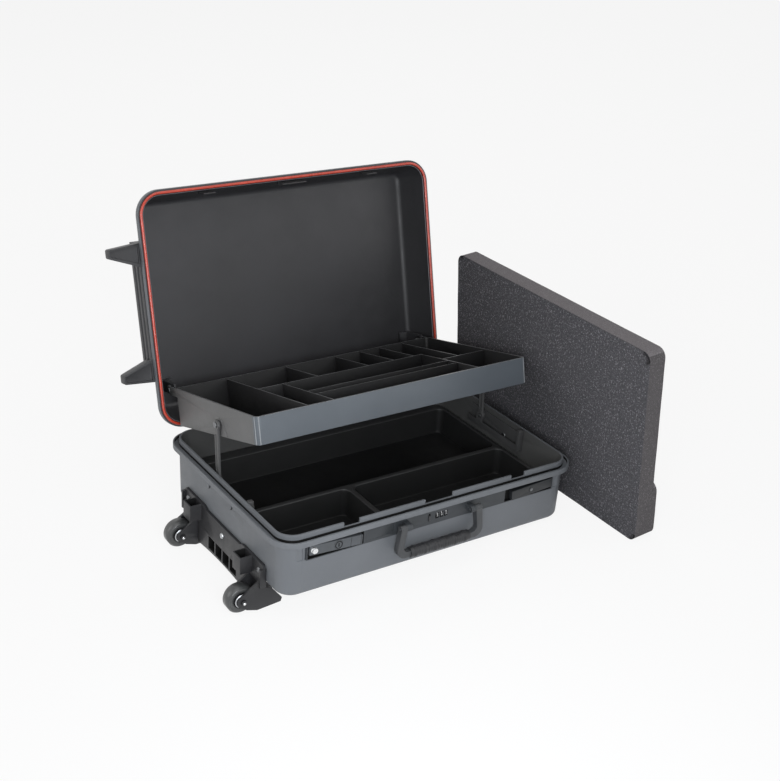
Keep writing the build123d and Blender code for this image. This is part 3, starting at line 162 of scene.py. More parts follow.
# "cloud" and "grain" are in mm. Real mould grain is 0.3 to 0.4 mm: it is drawn two to three times as coarse, because
# a finer one doesn't show in the render.
mouldings = {
    # ABS out of a leather-grained mould: an even satin, with no sharp highlight on the broad walls
    "grainedAbs": {"dark": "#676a6e", "light": "#6f7276", "cloud": 111, "grain": 0.71, "rough": 0.5, "bump": 0.35},
    # the same ABS in a darker copy inside the lid and under its land: painted shade
    "darkAbsLining": {"dark": "#2c2c2e", "light": "#343437", "cloud": 143, "grain": 0.71, "rough": 0.5,
                      "bump": 0.35, "specular": 0.5},
    # the same ABS in a darker copy inside the tub, below its lip: painted shade
    "greyAbsLining": {"dark": "#4a4a49", "light": "#525251", "cloud": 125, "grain": 0.71, "rough": 0.5,
                      "bump": 0.3},
    # a paler copy of the ABS along the lid's mouth: a painted highlight where its edge catches the light
    "rubbedAbsRim": {"dark": "#77767a", "light": "#838287", "cloud": 50, "grain": 0.71, "rough": 0.4, "bump": 0.2},
    # near black: dark joints round the key and across the lever, and painted shade in grooves, pockets, slots and
    # sockets
    "mattBlackAbs": {"dark": "#0d0d0d", "light": "#131313", "cloud": 50, "grain": 0.71, "rough": 0.6, "bump": 0.2,
                     "specular": 0.2},
    # polystyrene sheet, vacuum formed: soft black bays, and a paler copy on the ridges' tops, a painted highlight
    "formedPolystyrene": {"dark": "#1f1f1f", "light": "#262626", "cloud": 83, "grain": 0.9, "rough": 0.5,
                          "bump": 0.3, "specular": 0.25},
    "formedPolystyreneRidge": {"dark": "#363636", "light": "#3e3e3e", "cloud": 83, "grain": 0.9, "rough": 0.45,
                               "bump": 0.3, "specular": 0.35},
    # glass-filled nylon: dry and slightly mottled, as load-bearing mouldings are
    "nylonTrim": {"dark": "#313133", "light": "#3a3a3c", "cloud": 50, "grain": 0.62, "rough": 0.48, "bump": 0.35},
    "nylonTruck": {"dark": "#252527", "light": "#2d2d2f", "cloud": 50, "grain": 0.62, "rough": 0.45, "bump": 0.35},
    "nylonHandle": {"dark": "#3d3e40", "light": "#47494b", "cloud": 56, "grain": 0.67, "rough": 0.45, "bump": 0.3},
    "nylonArm": {"dark": "#505050", "light": "#5a5a5a", "cloud": 56, "grain": 0.67, "rough": 0.42, "bump": 0.25},
    "nylonGusset": {"dark": "#6a6a6a", "light": "#747474", "cloud": 56, "grain": 0.67, "rough": 0.4, "bump": 0.25},
    "nylonChannel": {"dark": "#454545", "light": "#4f4f4f", "cloud": 71, "grain": 0.67, "rough": 0.45,
                     "bump": 0.25},
    "nylonHub": {"dark": "#1c1c1e", "light": "#252527", "cloud": 25, "grain": 0.67, "rough": 0.35, "bump": 0.15},
    # ABS with a finer grain: the strip reads as a darker band on the front wall
    "absLockStrip": {"dark": "#313437", "light": "#383b3f", "cloud": 50, "grain": 0.62, "rough": 0.48, "bump": 0.3},
    # acetal: dense and waxy, so that levers and dials have a softer but brighter gloss
    "acetalLatch": {"dark": "#474a4d", "light": "#505357", "cloud": 45, "grain": 0.62, "rough": 0.42, "bump": 0.25},
    # the right lever in a darker copy of the same acetal: painted shade
    "acetalLatchDark": {"dark": "#222426", "light": "#2a2c2f", "cloud": 45, "grain": 0.62, "rough": 0.42,
                        "bump": 0.25},
    "acetalDial": {"dark": "#1a1a1c", "light": "#222225", "cloud": 25, "grain": 0.67, "rough": 0.4, "bump": 0.1},
    # tray's thin ABS walls: grey outside; a near black copy inside, painted shade; pale top edges, painted highlight
    "absTray": {"dark": "#5c5c5c", "light": "#656565", "cloud": 100, "grain": 0.67, "rough": 0.48, "bump": 0.3},
    "absTrayInside": {"dark": "#1a1a1b", "light": "#222223", "cloud": 100, "grain": 0.67, "rough": 0.52,
                      "bump": 0.3, "specular": 0.3},
    "absTrayEdge": {"dark": "#5f6061", "light": "#6b6c6e", "cloud": 33, "grain": 0.67, "rough": 0.35, "bump": 0.15},
    # extruded ABS profile: smoother and bluer than the mouldings, with a bright copy on its top faces, a painted
    # highlight
    "absPanel": {"dark": "#555b61", "light": "#5e646a", "cloud": 125, "grain": 0.67, "rough": 0.4, "bump": 0.22},
    "absPanelEdge": {"dark": "#8a8d90", "light": "#989b9e", "cloud": 33, "grain": 0.67, "rough": 0.35,
                     "bump": 0.15},
    # soft red rubber: a wet-looking highlight on the bead, and a dark copy of the red down its sides, painted shade
    "rubberSeal": {"dark": "#c23a26", "light": "#d64a34", "cloud": 40, "grain": 1.11, "rough": 0.28, "bump": 0.1,
                   "specular": 0.7, "ior": 1.52},
    "rubberSealShade": {"dark": "#571a12", "light": "#6b2118", "cloud": 40, "grain": 1.11, "rough": 0.4,
                        "bump": 0.1, "ior": 1.52},
    # moulded rubber: matt on the grip, rolled smooth and shinier on the tyres
    "gripRubber": {"dark": "#29292b", "light": "#323234", "cloud": 25, "grain": 0.83, "rough": 0.5, "bump": 0.4,
                   "ior": 1.52},
    "tyreRubber": {"dark": "#373838", "light": "#464747", "cloud": 16.7, "grain": 0.77, "rough": 0.33, "bump": 0.3,
                   "specular": 0.65, "ior": 1.52},
}
# "line" is how far the metal's lines run along X, in mm, and "brush" how many times finer they are each way
metals = {
    # foil stamped into the dials' figures: bright but grainless
    "silverFoil": {"dark": "#c4c6c8", "light": "#e4e6e8", "brush": (1, 1, 1), "line": 2.5, "rough": 0.4},
    # zinc-plated steel, turned and plated: a soft grey shine in 0.2 mm lines, and a darker copy of it
    "zincPlatedSteel": {"dark": "#a5a7aa", "light": "#c6c8ca", "brush": (1, 12, 12), "line": 2.5, "rough": 0.34},
    "dulledZincSteel": {"dark": "#6a6b6d", "light": "#86888a", "brush": (1, 12, 12), "line": 2.5, "rough": 0.4},
    # chrome-plated brass: a small hard glint on rivet and axle heads
    "chromePlatedBrass": {"dark": "#d6d8da", "light": "#f2f3f4", "brush": (1, 1, 1), "line": 2.5, "rough": 0.14},
}
# polyurethane foam: bright flecks on the skived face; closer cells on the sawn edges, with a paler tone that is
# partly painted light, and a paler copy on the top, painted light. Its cells are in mm, and drawn about twice as
# coarse as the real ones of 0.6 to 0.9 mm, so that they show.
foams = {
    "skivedFoam": {"pore": "#38383a", "base": "#504f52", "pale": "#98969b", "cell": 1.8, "fleck": 2.44},
    "paintedLightFoamTop": {"pore": "#676466", "base": "#7e7a7c", "pale": "#989496", "cell": 1.32, "fleck": 1.92},
    "sawnFoamPaintedPaler": {"pore": "#494749", "base": "#5e5b5c", "pale": "#827e80", "cell": 1.32, "fleck": 1.92},
}
finishes = {name: make(name, look) for make, looks in ((plastic, mouldings), (metal, metals), (foam, foams))
            for name, look in looks.items()}
print("finishes:", len(finishes))

# where lid and tray pivot, how far they are turned when open, and how far the case leans on its wheels
linkage = {"hinge": (0, 0.180, 0.0902), "lidTurn": 104, "trayPivot": (0, 0.045, 0.164), "trayTilt": -14.4,
           "lean": 5.3037}
hingeLine = Vector(linkage["hinge"])
lidShut = (Matrix.Translation(hingeLine) @ Matrix.Rotation(math.radians(linkage["lidTurn"]), 4, "X")
           @ Matrix.Translation(-hingeLine))
trayTurn = Matrix.Translation(linkage["trayPivot"]) @ Matrix.Rotation(math.radians(linkage["trayTilt"]), 4, "X")
trayShut = trayTurn.inverted()
asBuilt = Matrix.Identity(4)


def addObject(name, data):
    holder = bpy.data.objects.new(name, data)
    bpy.context.scene.collection.objects.link(holder)
    return holder


# a new piece in the named finishes, which moves with the body
def join(name, mesh, body, *names):
    data = bpy.data.meshes.new(name)
    mesh.to_mesh(data)
    mesh.free()
    piece = addObject(name, data)
    for finish in names:
        data.materials.append(finishes[finish])
    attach(piece, body)
    return piece


def shapeOf(holder):
    return bpy.data.meshes.new_from_object(holder.evaluated_get(bpy.context.evaluated_depsgraph_get()))


# the modifiers' result becomes the piece's own mesh
def settle(piece):
    shape = shapeOf(piece)
    old = piece.data
    piece.modifiers.clear()
    piece.data = shape
    bpy.data.meshes.remove(old)


def breakEdges(piece, width, steps, degrees=30):
    bevel = piece.modifiers.new("edge", "BEVEL")
    bevel.width = width
    bevel.segments = steps
    bevel.limit_method = "ANGLE"
    bevel.angle_limit = math.radians(degrees)
    settle(piece)


def shadeByAngle(piece, degrees=32):
    for face in piece.data.polygons:
        face.use_smooth = True
    piece.data.set_sharp_from_angle(angle=math.radians(degrees))


def within(value, span):
    return span[0] < value < span[1]


# how far a point is outside a rectangle with rounded corners
def outsideBy(point, halfX, halfY, radius):
    dx, dy = abs(point.x) - halfX + radius, abs(point.y) - halfY + radius
    return math.hypot(max(dx, 0), max(dy, 0)) + min(max(dx, dy), 0) - radius


def facesMiddle(point, normal, middle):
    return normal.dot(Vector(middle) - point) > 0


def paintFaces(piece, pick, pose):
    turn = pose.to_3x3()
    for face in piece.data.polygons:
        face.material_index = pick(pose @ face.center, turn @ face.normal)


# The functions below pick a face's finish by its place and direction, as when the case is shut.
# Their rectangles are half the length, half the depth and the corner radius, in metres.
tub = {"inner": (0.2384, 0.1634, 0.0244), "middle": (0, 0, 0.05), "lip": 0.0964,
       "grooveInner": (0.2408, 0.1658, 0.0268), "grooveOuter": (0.2478, 0.1728, 0.0338),
       "groove": (0.085, 0.0899)}


# the tub's inside below the lip, and its rim groove, take painted shade
def tubShadePick(point, normal):
    if outsideBy(point, *tub["inner"]) < 0 and facesMiddle(point, normal, tub["middle"]):
        return 1 if point.z < tub["lip"] else 0
    inGroove = outsideBy(point, *tub["grooveInner"]) > 0 and outsideBy(point, *tub["grooveOuter"]) < 0
    return 2 if inGroove and within(point.z, tub["groove"]) else 0


lid = {"inner": (0.2420, 0.1670, 0.0280), "middle": (0, 0, 0.110), "mouth": (0.2415, 0.1665, 0.0275),
       "mouthWidth": 0.0008, "mouthTop": 0.0912, "mouthSlope": (-0.99, -0.1),
       "land": (0.244, 0.169, 0.030), "landTop": 0.0915, "downward": -0.5}


# the lid's inside and the underside of its land take painted shade, and its mouth a painted highlight
def lidShadeAndHighlightPick(point, normal):
    onMouth = abs(outsideBy(point, *lid["mouth"])) < lid["mouthWidth"] and point.z < lid["mouthTop"]
    if onMouth and within(normal.z, lid["mouthSlope"]):
        return 2
    inside = outsideBy(point, *lid["inner"]) < 0 and facesMiddle(point, normal, lid["middle"])
    onLand = normal.z < lid["downward"] and outsideBy(point, *lid["land"]) < 0 and point.z < lid["landTop"]
    return 1 if inside or onLand else 0


# the seal's faces, all but the downward one, take painted shade
def sealShadePick(point, normal):
    return 0 if normal.z < lid["downward"] else 1


tray = {"middle": (0, 0.016, 0.0), "edge": 0.02, "wallTop": 0.75, "dividerTop": 0.6}


# the tray's inside takes painted shade, and the top of its walls a painted highlight
def trayShadeAndHighlightPick(point, normal):
    if normal.z > tray["wallTop"]:
        return 2 if point.z > tray["edge"] else 1
    return 1 if facesMiddle(point, normal, tray["middle"]) else 0


# top faces above the tray's edge take a painted highlight, the rest of a divider painted shade
def topEdgeHighlightPick(point, normal):
    return 1 if normal.z > tray["dividerTop"] and point.z > tray["edge"] else 0


insert = {"ridge": 0.0455, "upward": 0.25}


# the tops of the insert's ridges take a painted highlight
def ridgeHighlightPick(point, normal):
    return 1 if normal.z > insert["upward"] and point.z > insert["ridge"] else 0


truck = {"pocketHalf": 0.0435, "pocketHeight": (-0.0303, -0.0097), "pocketFace": -0.2434,
         "socket": (-0.2518, 0.0765), "socketHalf": (0.0082, 0.0094), "socketHeight": (0.0066, 0.0297),
         "middleScrew": 0.03, "wallFace": 0.2402}


# the truck's pockets and the sockets take painted shade
def truckShadePick(point, normal):
    inPocket = (abs(point.y) < truck["pocketHalf"] and within(point.z, truck["pocketHeight"])
                and point.x > truck["pocketFace"])
    inSocket = (abs(abs(point.y) - truck["socket"][1]) < truck["socketHalf"][1]
                and abs(point.x - truck["socket"][0]) < truck["socketHalf"][0]
                and within(point.z, truck["socketHeight"]))
    return 1 if inPocket or inSocket else 0


def screwFinish(point, normal):
    return 1 if abs(point.y) < truck["middleScrew"] else 0


def rivetFinish(point, normal):
    return 0 if abs(point.x) > truck["wallFace"] else 1


lock = {"height": 0.0685, "recess": (-0.1680, -0.1625), "half": (0.2065, 0.0106), "key": -0.1595,
        "slotHalf": (0.00075, 0.0029), "slotFace": -0.1705}


# the strip's recess takes painted shade
def stripShadePick(point, normal):
    inRecess = (within(point.y, lock["recess"]) and abs(point.z - lock["height"]) < lock["half"][1]
                and abs(point.x) < lock["half"][0])
    return 1 if inRecess else 0


# the key's slot takes painted shade
def keySlotShadePick(point, normal):
    inSlot = (abs(point.x - lock["key"]) < lock["slotHalf"][0]
              and abs(point.z - lock["height"]) < lock["slotHalf"][1] and point.y > lock["slotFace"])
    return 1 if inSlot else 0


# a node's triangles as one closed mesh, with its flat faces whole
def solidCopy(node):
    mesh = bmesh.new()
    mesh.from_mesh(frame["nodes"][node].data)
    bmesh.ops.remove_doubles(mesh, verts=mesh.verts, dist=2e-6)
    bmesh.ops.dissolve_limit(mesh, angle_limit=math.radians(0.4), verts=mesh.verts, edges=mesh.edges)
    return mesh


# a solid of the frame with its edges broken, standing for that node
def softEdged(node, names, edge, steps, pick=None, pose=asBuilt):
    piece = join(node + "Piece", solidCopy(node), bodyOf[node], *names)
    breakEdges(piece, edge, steps, 38)
    if pick:
        paintFaces(piece, pick, pose)
    shadeByAngle(piece)
    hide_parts(node)


# finishes, broken edge in metres, its steps, and where faces differ, how they are told apart and in which pose
solids = {
    "base_shell": (("grainedAbs", "greyAbsLining", "mattBlackAbs"), 0.0007, 3, tubShadePick),
    "lid_shell": (("grainedAbs", "darkAbsLining", "rubbedAbsRim"), 0.0007, 3, lidShadeAndHighlightPick, lidShut),
    "base_insert": (("formedPolystyrene", "formedPolystyreneRidge"), 0.0016, 3, ridgeHighlightPick),
    "lid_seal": (("rubberSeal", "rubberSealShade"), 0.0014, 3, sealShadePick, lidShut),
    "left_arm_channel": (("nylonChannel",), 0.0004, 2),
    "right_arm_channel": (("nylonChannel",), 0.0004, 2),
    "channel_rivets": (("grainedAbs", "zincPlatedSteel"), 0.0004, 3, rivetFinish),
    "arm_foot_pins": (("zincPlatedSteel",), 0.0003, 2),
    "left_arm": (("nylonArm",), 0.0006, 2),
    "right_arm": (("nylonArm",), 0.0006, 2),
    "tray_body": (("absTray", "absTrayInside", "absTrayEdge"), 0.0005, 2, trayShadeAndHighlightPick, trayShut),
    "tray_front_panel": (("absPanel", "absPanelEdge"), 0.0005, 2, topEdgeHighlightPick, trayShut),
    "tray_long_dividers": (("absTrayInside", "absTrayEdge"), 0.0004, 2, topEdgeHighlightPick, trayShut),
    "tray_cross_dividers": (("absTrayInside", "absTrayEdge"), 0.0004, 2, topEdgeHighlightPick, trayShut),
    "tray_thin_dividers": (("absTrayInside", "absTrayEdge"), 0.0003, 2, topEdgeHighlightPick, trayShut),
    "tray_pivot_pins": (("dulledZincSteel",), 0.0003, 2),
    "tray_link_brackets": (("nylonTrim",), 0.0005, 2),
    "lid_strikers": (("nylonTrim",), 0.0004, 2),
    "lid_stand": (("nylonTrim",), 0.0010, 3),
    "base_hinge_leaves": (("nylonTrim",), 0.0003, 2),
    "lid_hinge_leaves": (("nylonTrim",), 0.0003, 2),
    "wheel_truck": (("nylonTruck", "mattBlackAbs"), 0.0007, 3, truckShadePick),
    "truck_screws": (("dulledZincSteel", "zincPlatedSteel"), 0.0004, 2, screwFinish),
    "wheel_axles": (("nylonHub",), 0.0004, 2),
    "front_tyre": (("tyreRubber",), 0.0006, 3),
    "rear_tyre": (("tyreRubber",), 0.0006, 3),
    "front_hub": (("nylonHub",), 0.0006, 3),
    "rear_hub": (("nylonHub",), 0.0006, 3),
    "lock_strip": (("absLockStrip", "mattBlackAbs"), 0.0005, 2, stripShadePick),
    "blank_plate": (("absLockStrip",), 0.0003, 2),
    "left_latch": (("acetalLatch",), 0.0005, 3),
    "right_latch": (("acetalLatchDark",), 0.0005, 3),
    "key_cylinder": (("acetalLatch", "mattBlackAbs"), 0.0003, 2, keySlotShadePick),
    "dial_1": (("acetalDial",), 0.0002, 2),
    "dial_2": (("acetalDial",), 0.0002, 2),
    "dial_3": (("acetalDial",), 0.0002, 2),
    "lock_slider": (("nylonTrim",), 0.0002, 2),
    "lock_cover": (("formedPolystyrene",), 0.0002, 2),
    "handle_bow": (("nylonHandle",), 0.0022, 4),
    "handle_grip": (("gripRubber",), 0.0006, 2),
}
for node, row in solids.items():
    softEdged(node, *row)
print("softened:", len(solids), "pieces")

# small turned metal parts keep their own mesh and take a finish
turned = {"hinge_pins": "zincPlatedSteel", "left_latch_rivet": "chromePlatedBrass",
          "right_latch_pivot": "dulledZincSteel", "dial_spindle": "zincPlatedSteel",
          "handle_pins": "zincPlatedSteel"}
for node, finish in turned.items():
    for slot in frame["nodes"][node].material_slots:
        slot.material = finishes[finish]
print("painted:", len(turned), "nodes")


# a plate cut to an outline in Y and Z, between two values of X
def cutPlate(mesh, outline, low, high, pose=asBuilt):
    rims = [[mesh.verts.new(pose @ Vector((x, y, z))) for y, z in outline] for x in (low, high)]
    mesh.faces.new(rims[0][::-1])
    mesh.faces.new(rims[1])
    for i in range(len(outline)):
        j = (i + 1) % len(outline)
        mesh.faces.new((rims[0][i], rims[0][j], rims[1][j], rims[1][i]))
    bmesh.ops.recalc_face_normals(mesh, faces=mesh.faces)


# a ring, whole or in part, of a profile (radius, along the axis) turned about a line along Y or X
def turnedRing(mesh, profile, centre, steps=48, sweep=math.tau, start=0.0, axis="Y"):
    closed = abs(sweep - math.tau) < 1e-6
    count = steps if closed else steps + 1
    rims = []
    for i in range(count):
        angle = start + sweep * i / steps
        rim = []
        for radius, along in profile:
            flat = (radius * math.cos(angle), radius * math.sin(angle))
            offset = (flat[0], along, flat[1]) if axis == "Y" else (along, flat[0], flat[1])
            rim.append(mesh.verts.new(Vector(centre) + Vector(offset)))
        rims.append(rim)
    for i in range(steps):
        a, b = rims[i], rims[(i + 1) % count]
        for j in range(len(profile)):
            k = (j + 1) % len(profile)
            mesh.faces.new((a[j], a[k], b[k], b[j]))
    if not closed:
        mesh.faces.new(rims[0])
        mesh.faces.new(rims[-1][::-1])
    bmesh.ops.recalc_face_normals(mesh, faces=mesh.faces)


# a block of these sizes about a place
def addBlock(mesh, place, sizes):
    bmesh.ops.create_cube(mesh, size=1.0, matrix=place @ Matrix.Diagonal((*sizes, 1)))


# side plates that carry the tray on its arms
gusset = {
    "outline": ((-0.0085, -0.0170), (-0.0085, 0.0010), (-0.0075, 0.0050), (-0.0045, 0.0082), (0.0, 0.0093),
                (0.0045, 0.0082), (0.0100, 0.0048), (0.0560, -0.0195), (0.0560, -0.0215)),
    "inner": 0.2260, "thick": 0.0007, "edge": 0.0003,
}
for side, name in ((-1, "leftGusset"), (1, "rightGusset")):
    mesh = bmesh.new()
    low, high = sorted((side * gusset["inner"], side * (gusset["inner"] + gusset["thick"])))
    cutPlate(mesh, gusset["outline"], low, high, trayTurn)
    plate = join(name, mesh, bodyOf["tray_body"], "nylonGusset")
    breakEdges(plate, gusset["edge"], 2)
    shadeByAngle(plate)
print("tray gussets made")

# two bright beads at each front corner of the tray, where its end meets the front panel: a painted highlight
cornerHighlight = {"centre": (0.2190, -0.1040), "radii": (0.0078, 0.0085), "angles": (205, 248), "bead": 0.0006,
        "low": -0.0098, "high": 0.0284}
mesh = bmesh.new()
for side in (-1, 1):
    for angle in cornerHighlight["angles"]:
        turn = math.radians(angle)
        x = side * (cornerHighlight["centre"][0] - cornerHighlight["radii"][0] * math.cos(turn))
        y = cornerHighlight["centre"][1] + cornerHighlight["radii"][1] * math.sin(turn)
        middle = trayTurn @ Matrix.Translation((x, y, (cornerHighlight["low"] + cornerHighlight["high"]) / 2))
        bmesh.ops.create_cone(mesh, cap_ends=True, segments=10, radius1=cornerHighlight["bead"], radius2=cornerHighlight["bead"],
                              depth=cornerHighlight["high"] - cornerHighlight["low"], matrix=middle)
paintedCornerHighlights = join("paintedCornerHighlights", mesh, bodyOf["tray_front_panel"], "absPanelEdge")
shadeByAngle(paintedCornerHighlights, 40)
print("corner folds made")

# moulded stops at the front ends of the arm channels
stop = {"x": (0.2282, 0.2362), "y": (-0.0612, -0.0545), "z": (0.080, 0.0965), "edge": 0.0007}
mesh = bmesh.new()
for side in (-1, 1):
    sizes = [stop[key][1] - stop[key][0] for key in "xyz"]
    middle = [(stop[key][0] + stop[key][1]) / 2 for key in "xyz"]
    addBlock(mesh, Matrix.Translation((side * middle[0], middle[1], middle[2])), sizes)
channelStops = join("channelStops", mesh, bodyOf["left_arm_channel"], "nylonChannel")
breakEdges(channelStops, stop["edge"], 3)
shadeByAngle(channelStops)
print("channel stops made")

# plated dust caps on the hubs, seen as bright crescents behind the forks, and the domed ends of the axles
cap = {"face": 0.0110, "profile": ((0.0070, 0.0), (0.0070, 0.0006), (0.0086, 0.0010), (0.0098, 0.0007),
                                   (0.0103, 0.0)),
       "button": 0.0021, "dome": 0.45, "end": 0.01885}
wheels = {"front": (-0.267, -0.094, -0.0255), "rear": (-0.267, 0.094, -0.0255)}
for wheel, centre in wheels.items():
    mesh = bmesh.new()
    for side in (-1, 1):
        turnedRing(mesh, [(radius, side * (cap["face"] + out)) for radius, out in cap["profile"]], centre)
    dustCap = join(wheel + "Cap", mesh, wheel + "_wheel", "zincPlatedSteel")
    shadeByAngle(dustCap, 50)
    mesh = bmesh.new()
    for side in (-1, 1):
        place = Matrix.Translation(Vector(centre) + Vector((0, side * cap["end"], 0)))
        bmesh.ops.create_uvsphere(mesh, u_segments=20, v_segments=10, radius=cap["button"],
                                  matrix=place @ Matrix.Diagonal((1, cap["dome"], 1, 1)))
    buttons = join(wheel + "AxleButtons", mesh, bodyOf["wheel_axles"], "chromePlatedBrass")
    shadeByAngle(buttons, 60)
print("hub caps and axle ends made")

# a dark part-ring beside each channel rivet in the left and right wall, which taper towards the floor: painted
# shadow
rivetShadow = {"y": (0.050, -0.017), "z": 0.0685, "inner": 0.0041, "outer": 0.0052, "proud": 0.0002, "sweep": 220,
        "start": 160, "wall": 0.241, "taper": 0.002, "wallHeight": 0.097}
mesh = bmesh.new()
for side in (-1, 1):
    wall = side * (rivetShadow["wall"] - rivetShadow["taper"] * (1 - rivetShadow["z"] / rivetShadow["wallHeight"]))
    profile = ((rivetShadow["inner"], 0.0), (rivetShadow["outer"], 0.0), (rivetShadow["outer"], side * rivetShadow["proud"]),
               (rivetShadow["inner"], side * rivetShadow["proud"]))
    for y in rivetShadow["y"]:
        turnedRing(mesh, profile, (wall, y, rivetShadow["z"]), 24, math.radians(rivetShadow["sweep"]),
                   math.radians(rivetShadow["start"]), "X")
join("paintedRivetShadows", mesh, bodyOf["base_shell"], "mattBlackAbs")
print("rivet seams made")

# the rim round the key, and the joints across the left lever, which is turned by its play
lever = {"face": -0.1700, "turn": 3.5, "rim": ((0.0044, 0.0), (0.0044, -0.0002), (0.0056, -0.0002), (0.0056, 0.0)),
         "rimOut": 0.0006, "joints": ((-0.1400, 0.0005), (-0.1245, 0.0004)), "jointDepth": 0.0002,
         "jointHeight": 0.0143 * 0.96}
mesh = bmesh.new()
turnedRing(mesh, lever["rim"], (lock["key"], lever["face"] - lever["rimOut"], lock["height"]), 40)
join("keyRim", mesh, bodyOf["key_cylinder"], "mattBlackAbs")
mesh = bmesh.new()
middle = Matrix.Translation((lock["key"], 0, lock["height"]))
swing = middle @ Matrix.Rotation(math.radians(lever["turn"]), 4, "Y") @ middle.inverted()
for x, wide in lever["joints"]:
    addBlock(mesh, swing @ Matrix.Translation((x, lever["face"], lock["height"])),
             (wide, lever["jointDepth"], lever["jointHeight"]))
join("leverJoint", mesh, bodyOf["left_latch"], "mattBlackAbs")
print("lever details made")

# figures 0 to 9 on the ten flats of each number dial
figures = {"x": (0.0005, 0.0080, 0.0155), "y": -0.1643, "z": 0.0685, "flat": 0.00503, "size": 0.0034,
           "bolder": 0.00006, "shift": (3, 8, 5)}
for index, x in enumerate(figures["x"]):
    mesh = bmesh.new()
    for digit in range(10):
        curve = bpy.data.curves.new("figure", "FONT")
        curve.body = str((digit + figures["shift"][index]) % 10)
        curve.size = figures["size"]
        curve.align_x = "CENTER"
        curve.align_y = "CENTER"
        curve.offset = figures["bolder"]
        holder = addObject("figure", curve)
        shape = shapeOf(holder)
        angle = math.pi + math.tau * digit / 10
        normal = Vector((0, math.cos(angle), math.sin(angle)))
        upward = normal.cross(Vector((1, 0, 0)))
        place = Vector((x, figures["y"], figures["z"])) + normal * figures["flat"]
        shape.transform(Matrix(((1, upward.x, normal.x, place.x), (0, upward.y, normal.y, place.y),
                                (0, upward.z, normal.z, place.z), (0, 0, 0, 1))))
        mesh.from_mesh(shape)
        bpy.data.objects.remove(holder)
        bpy.data.meshes.remove(shape)
        bpy.data.curves.remove(curve)
    join(f"figures{index + 1}", mesh, bodyOf[f"dial_{index + 1}"], "silverFoil")
print("dial figures made")


# a row of beaded rings along X, with its middle at the origin
def ringsTree(finish):
    tree = bpy.data.node_groups.new("gripRings", "GeometryNodeTree")
    for name, kind in (("Geometry", "NodeSocketGeometry"), ("Count", "NodeSocketInt"),
                       ("Spacing", "NodeSocketFloat"), ("Radius", "NodeSocketFloat"), ("Bead", "NodeSocketFloat")):
        tree.interface.new_socket(name, in_out="INPUT", socket_type=kind)
    tree.interface.new_socket("Geometry", in_out="OUTPUT", socket_type="NodeSocketGeometry")
    given = addNode(tree, "NodeGroupInput").outputs
    reach = addNode(tree, "ShaderNodeMath", {0: given["Count"], 1: 1.0}, operation="SUBTRACT")
    whole = addNode(tree, "ShaderNodeMath", {0: reach.outputs[0], 1: given["Spacing"]}, operation="MULTIPLY")
    first = addNode(tree, "ShaderNodeMath", {0: whole.outputs[0], 1: -0.5}, operation="MULTIPLY")
    start = addNode(tree, "ShaderNodeCombineXYZ", {"X": first.outputs[0]})
    step = addNode(tree, "ShaderNodeCombineXYZ", {"X": given["Spacing"]})
    row = addNode(tree, "GeometryNodeMeshLine", {"Count": given["Count"], "Start Location": start.outputs[0],
                                                 "Offset": step.outputs[0]})
    loop = addNode(tree, "GeometryNodeCurvePrimitiveCircle", {"Resolution": 40, "Radius": given["Radius"]})
    bead = addNode(tree, "GeometryNodeCurvePrimitiveCircle", {"Resolution": 8, "Radius": given["Bead"]})
    ring = addNode(tree, "GeometryNodeCurveToMesh", {"Curve": loop.outputs["Curve"],
                                                     "Profile Curve": bead.outputs["Curve"]})
    stood = addNode(tree, "GeometryNodeTransform", {"Geometry": ring.outputs["Mesh"],
                                                    "Rotation": (0, math.pi / 2, 0)})
    copies = addNode(tree, "GeometryNodeInstanceOnPoints", {"Points": row.outputs["Mesh"],
                                                            "Instance": stood.outputs["Geometry"]})
    real = addNode(tree, "GeometryNodeRealizeInstances", {"Geometry": copies.outputs["Instances"]})
    tinted = addNode(tree, "GeometryNodeSetMaterial", {"Geometry": real.outputs["Geometry"], "Material": finish})
    addNode(tree, "NodeGroupOutput", {"Geometry": tinted.outputs["Geometry"]})
    return tree


# fine rings moulded round the grip: the tree's inputs, and the middle of the grip
rings = {"Count": 23, "Spacing": 0.0040, "Radius": 0.0074, "Bead": 0.00055}
gripMiddle = (0, -0.1785, 0.029)
mesh = bmesh.new()
mesh.verts.new((0, 0, 0))
gripRings = join("gripRings", mesh, bodyOf["handle_grip"], "gripRubber")
nodes = gripRings.modifiers.new("rings", "NODES")
nodes.node_group = ringsTree(finishes["gripRubber"])
for item in nodes.node_group.interface.items_tree:
    if item.in_out == "INPUT" and item.name in rings:
        nodes[item.identifier] = rings[item.name]
settle(gripRings)
gripRings.data.transform(Matrix.Translation(gripMiddle))
shadeByAngle(gripRings, 60)
print("grip rings made")

# the foam slab: rounded edges and a skin that is a little uneven, as cut foam is
slab = {"round": 0.0032, "steps": 4, "cell": 0.012, "uneven": 0.0005, "sunk": 0.5,
        "grain": 24.0, "fine": 3, "shares": (0.7, 0.3), "face": 0.75, "top": 0.6}
foamSlab = join("foamSlabPiece", solidCopy("foam_slab"), bodyOf["foam_slab"], "skivedFoam", "sawnFoamPaintedPaler",
                "paintedLightFoamTop")
breakEdges(foamSlab, slab["round"], slab["steps"], 40)
mesh = bmesh.new()
mesh.from_mesh(foamSlab.data)
slabTurn = Matrix.Rotation(math.radians(-linkage["lean"]), 3, "Y")
spots = [slabTurn.transposed() @ vertex.co for vertex in mesh.verts]
for axis in (1, 2):
    low, high = min(spot[axis] for spot in spots), max(spot[axis] for spot in spots)
    cuts = int((high - low) / slab["cell"])
    for cut in range(1, cuts):
        local = Vector((0, 0, 0))
        local[axis] = low + (high - low) * cut / cuts
        across = Vector((0, 0, 0))
        across[axis] = 1
        bmesh.ops.bisect_plane(mesh, geom=mesh.verts[:] + mesh.edges[:] + mesh.faces[:], dist=1e-7,
                               plane_co=slabTurn @ local, plane_no=slabTurn @ across)
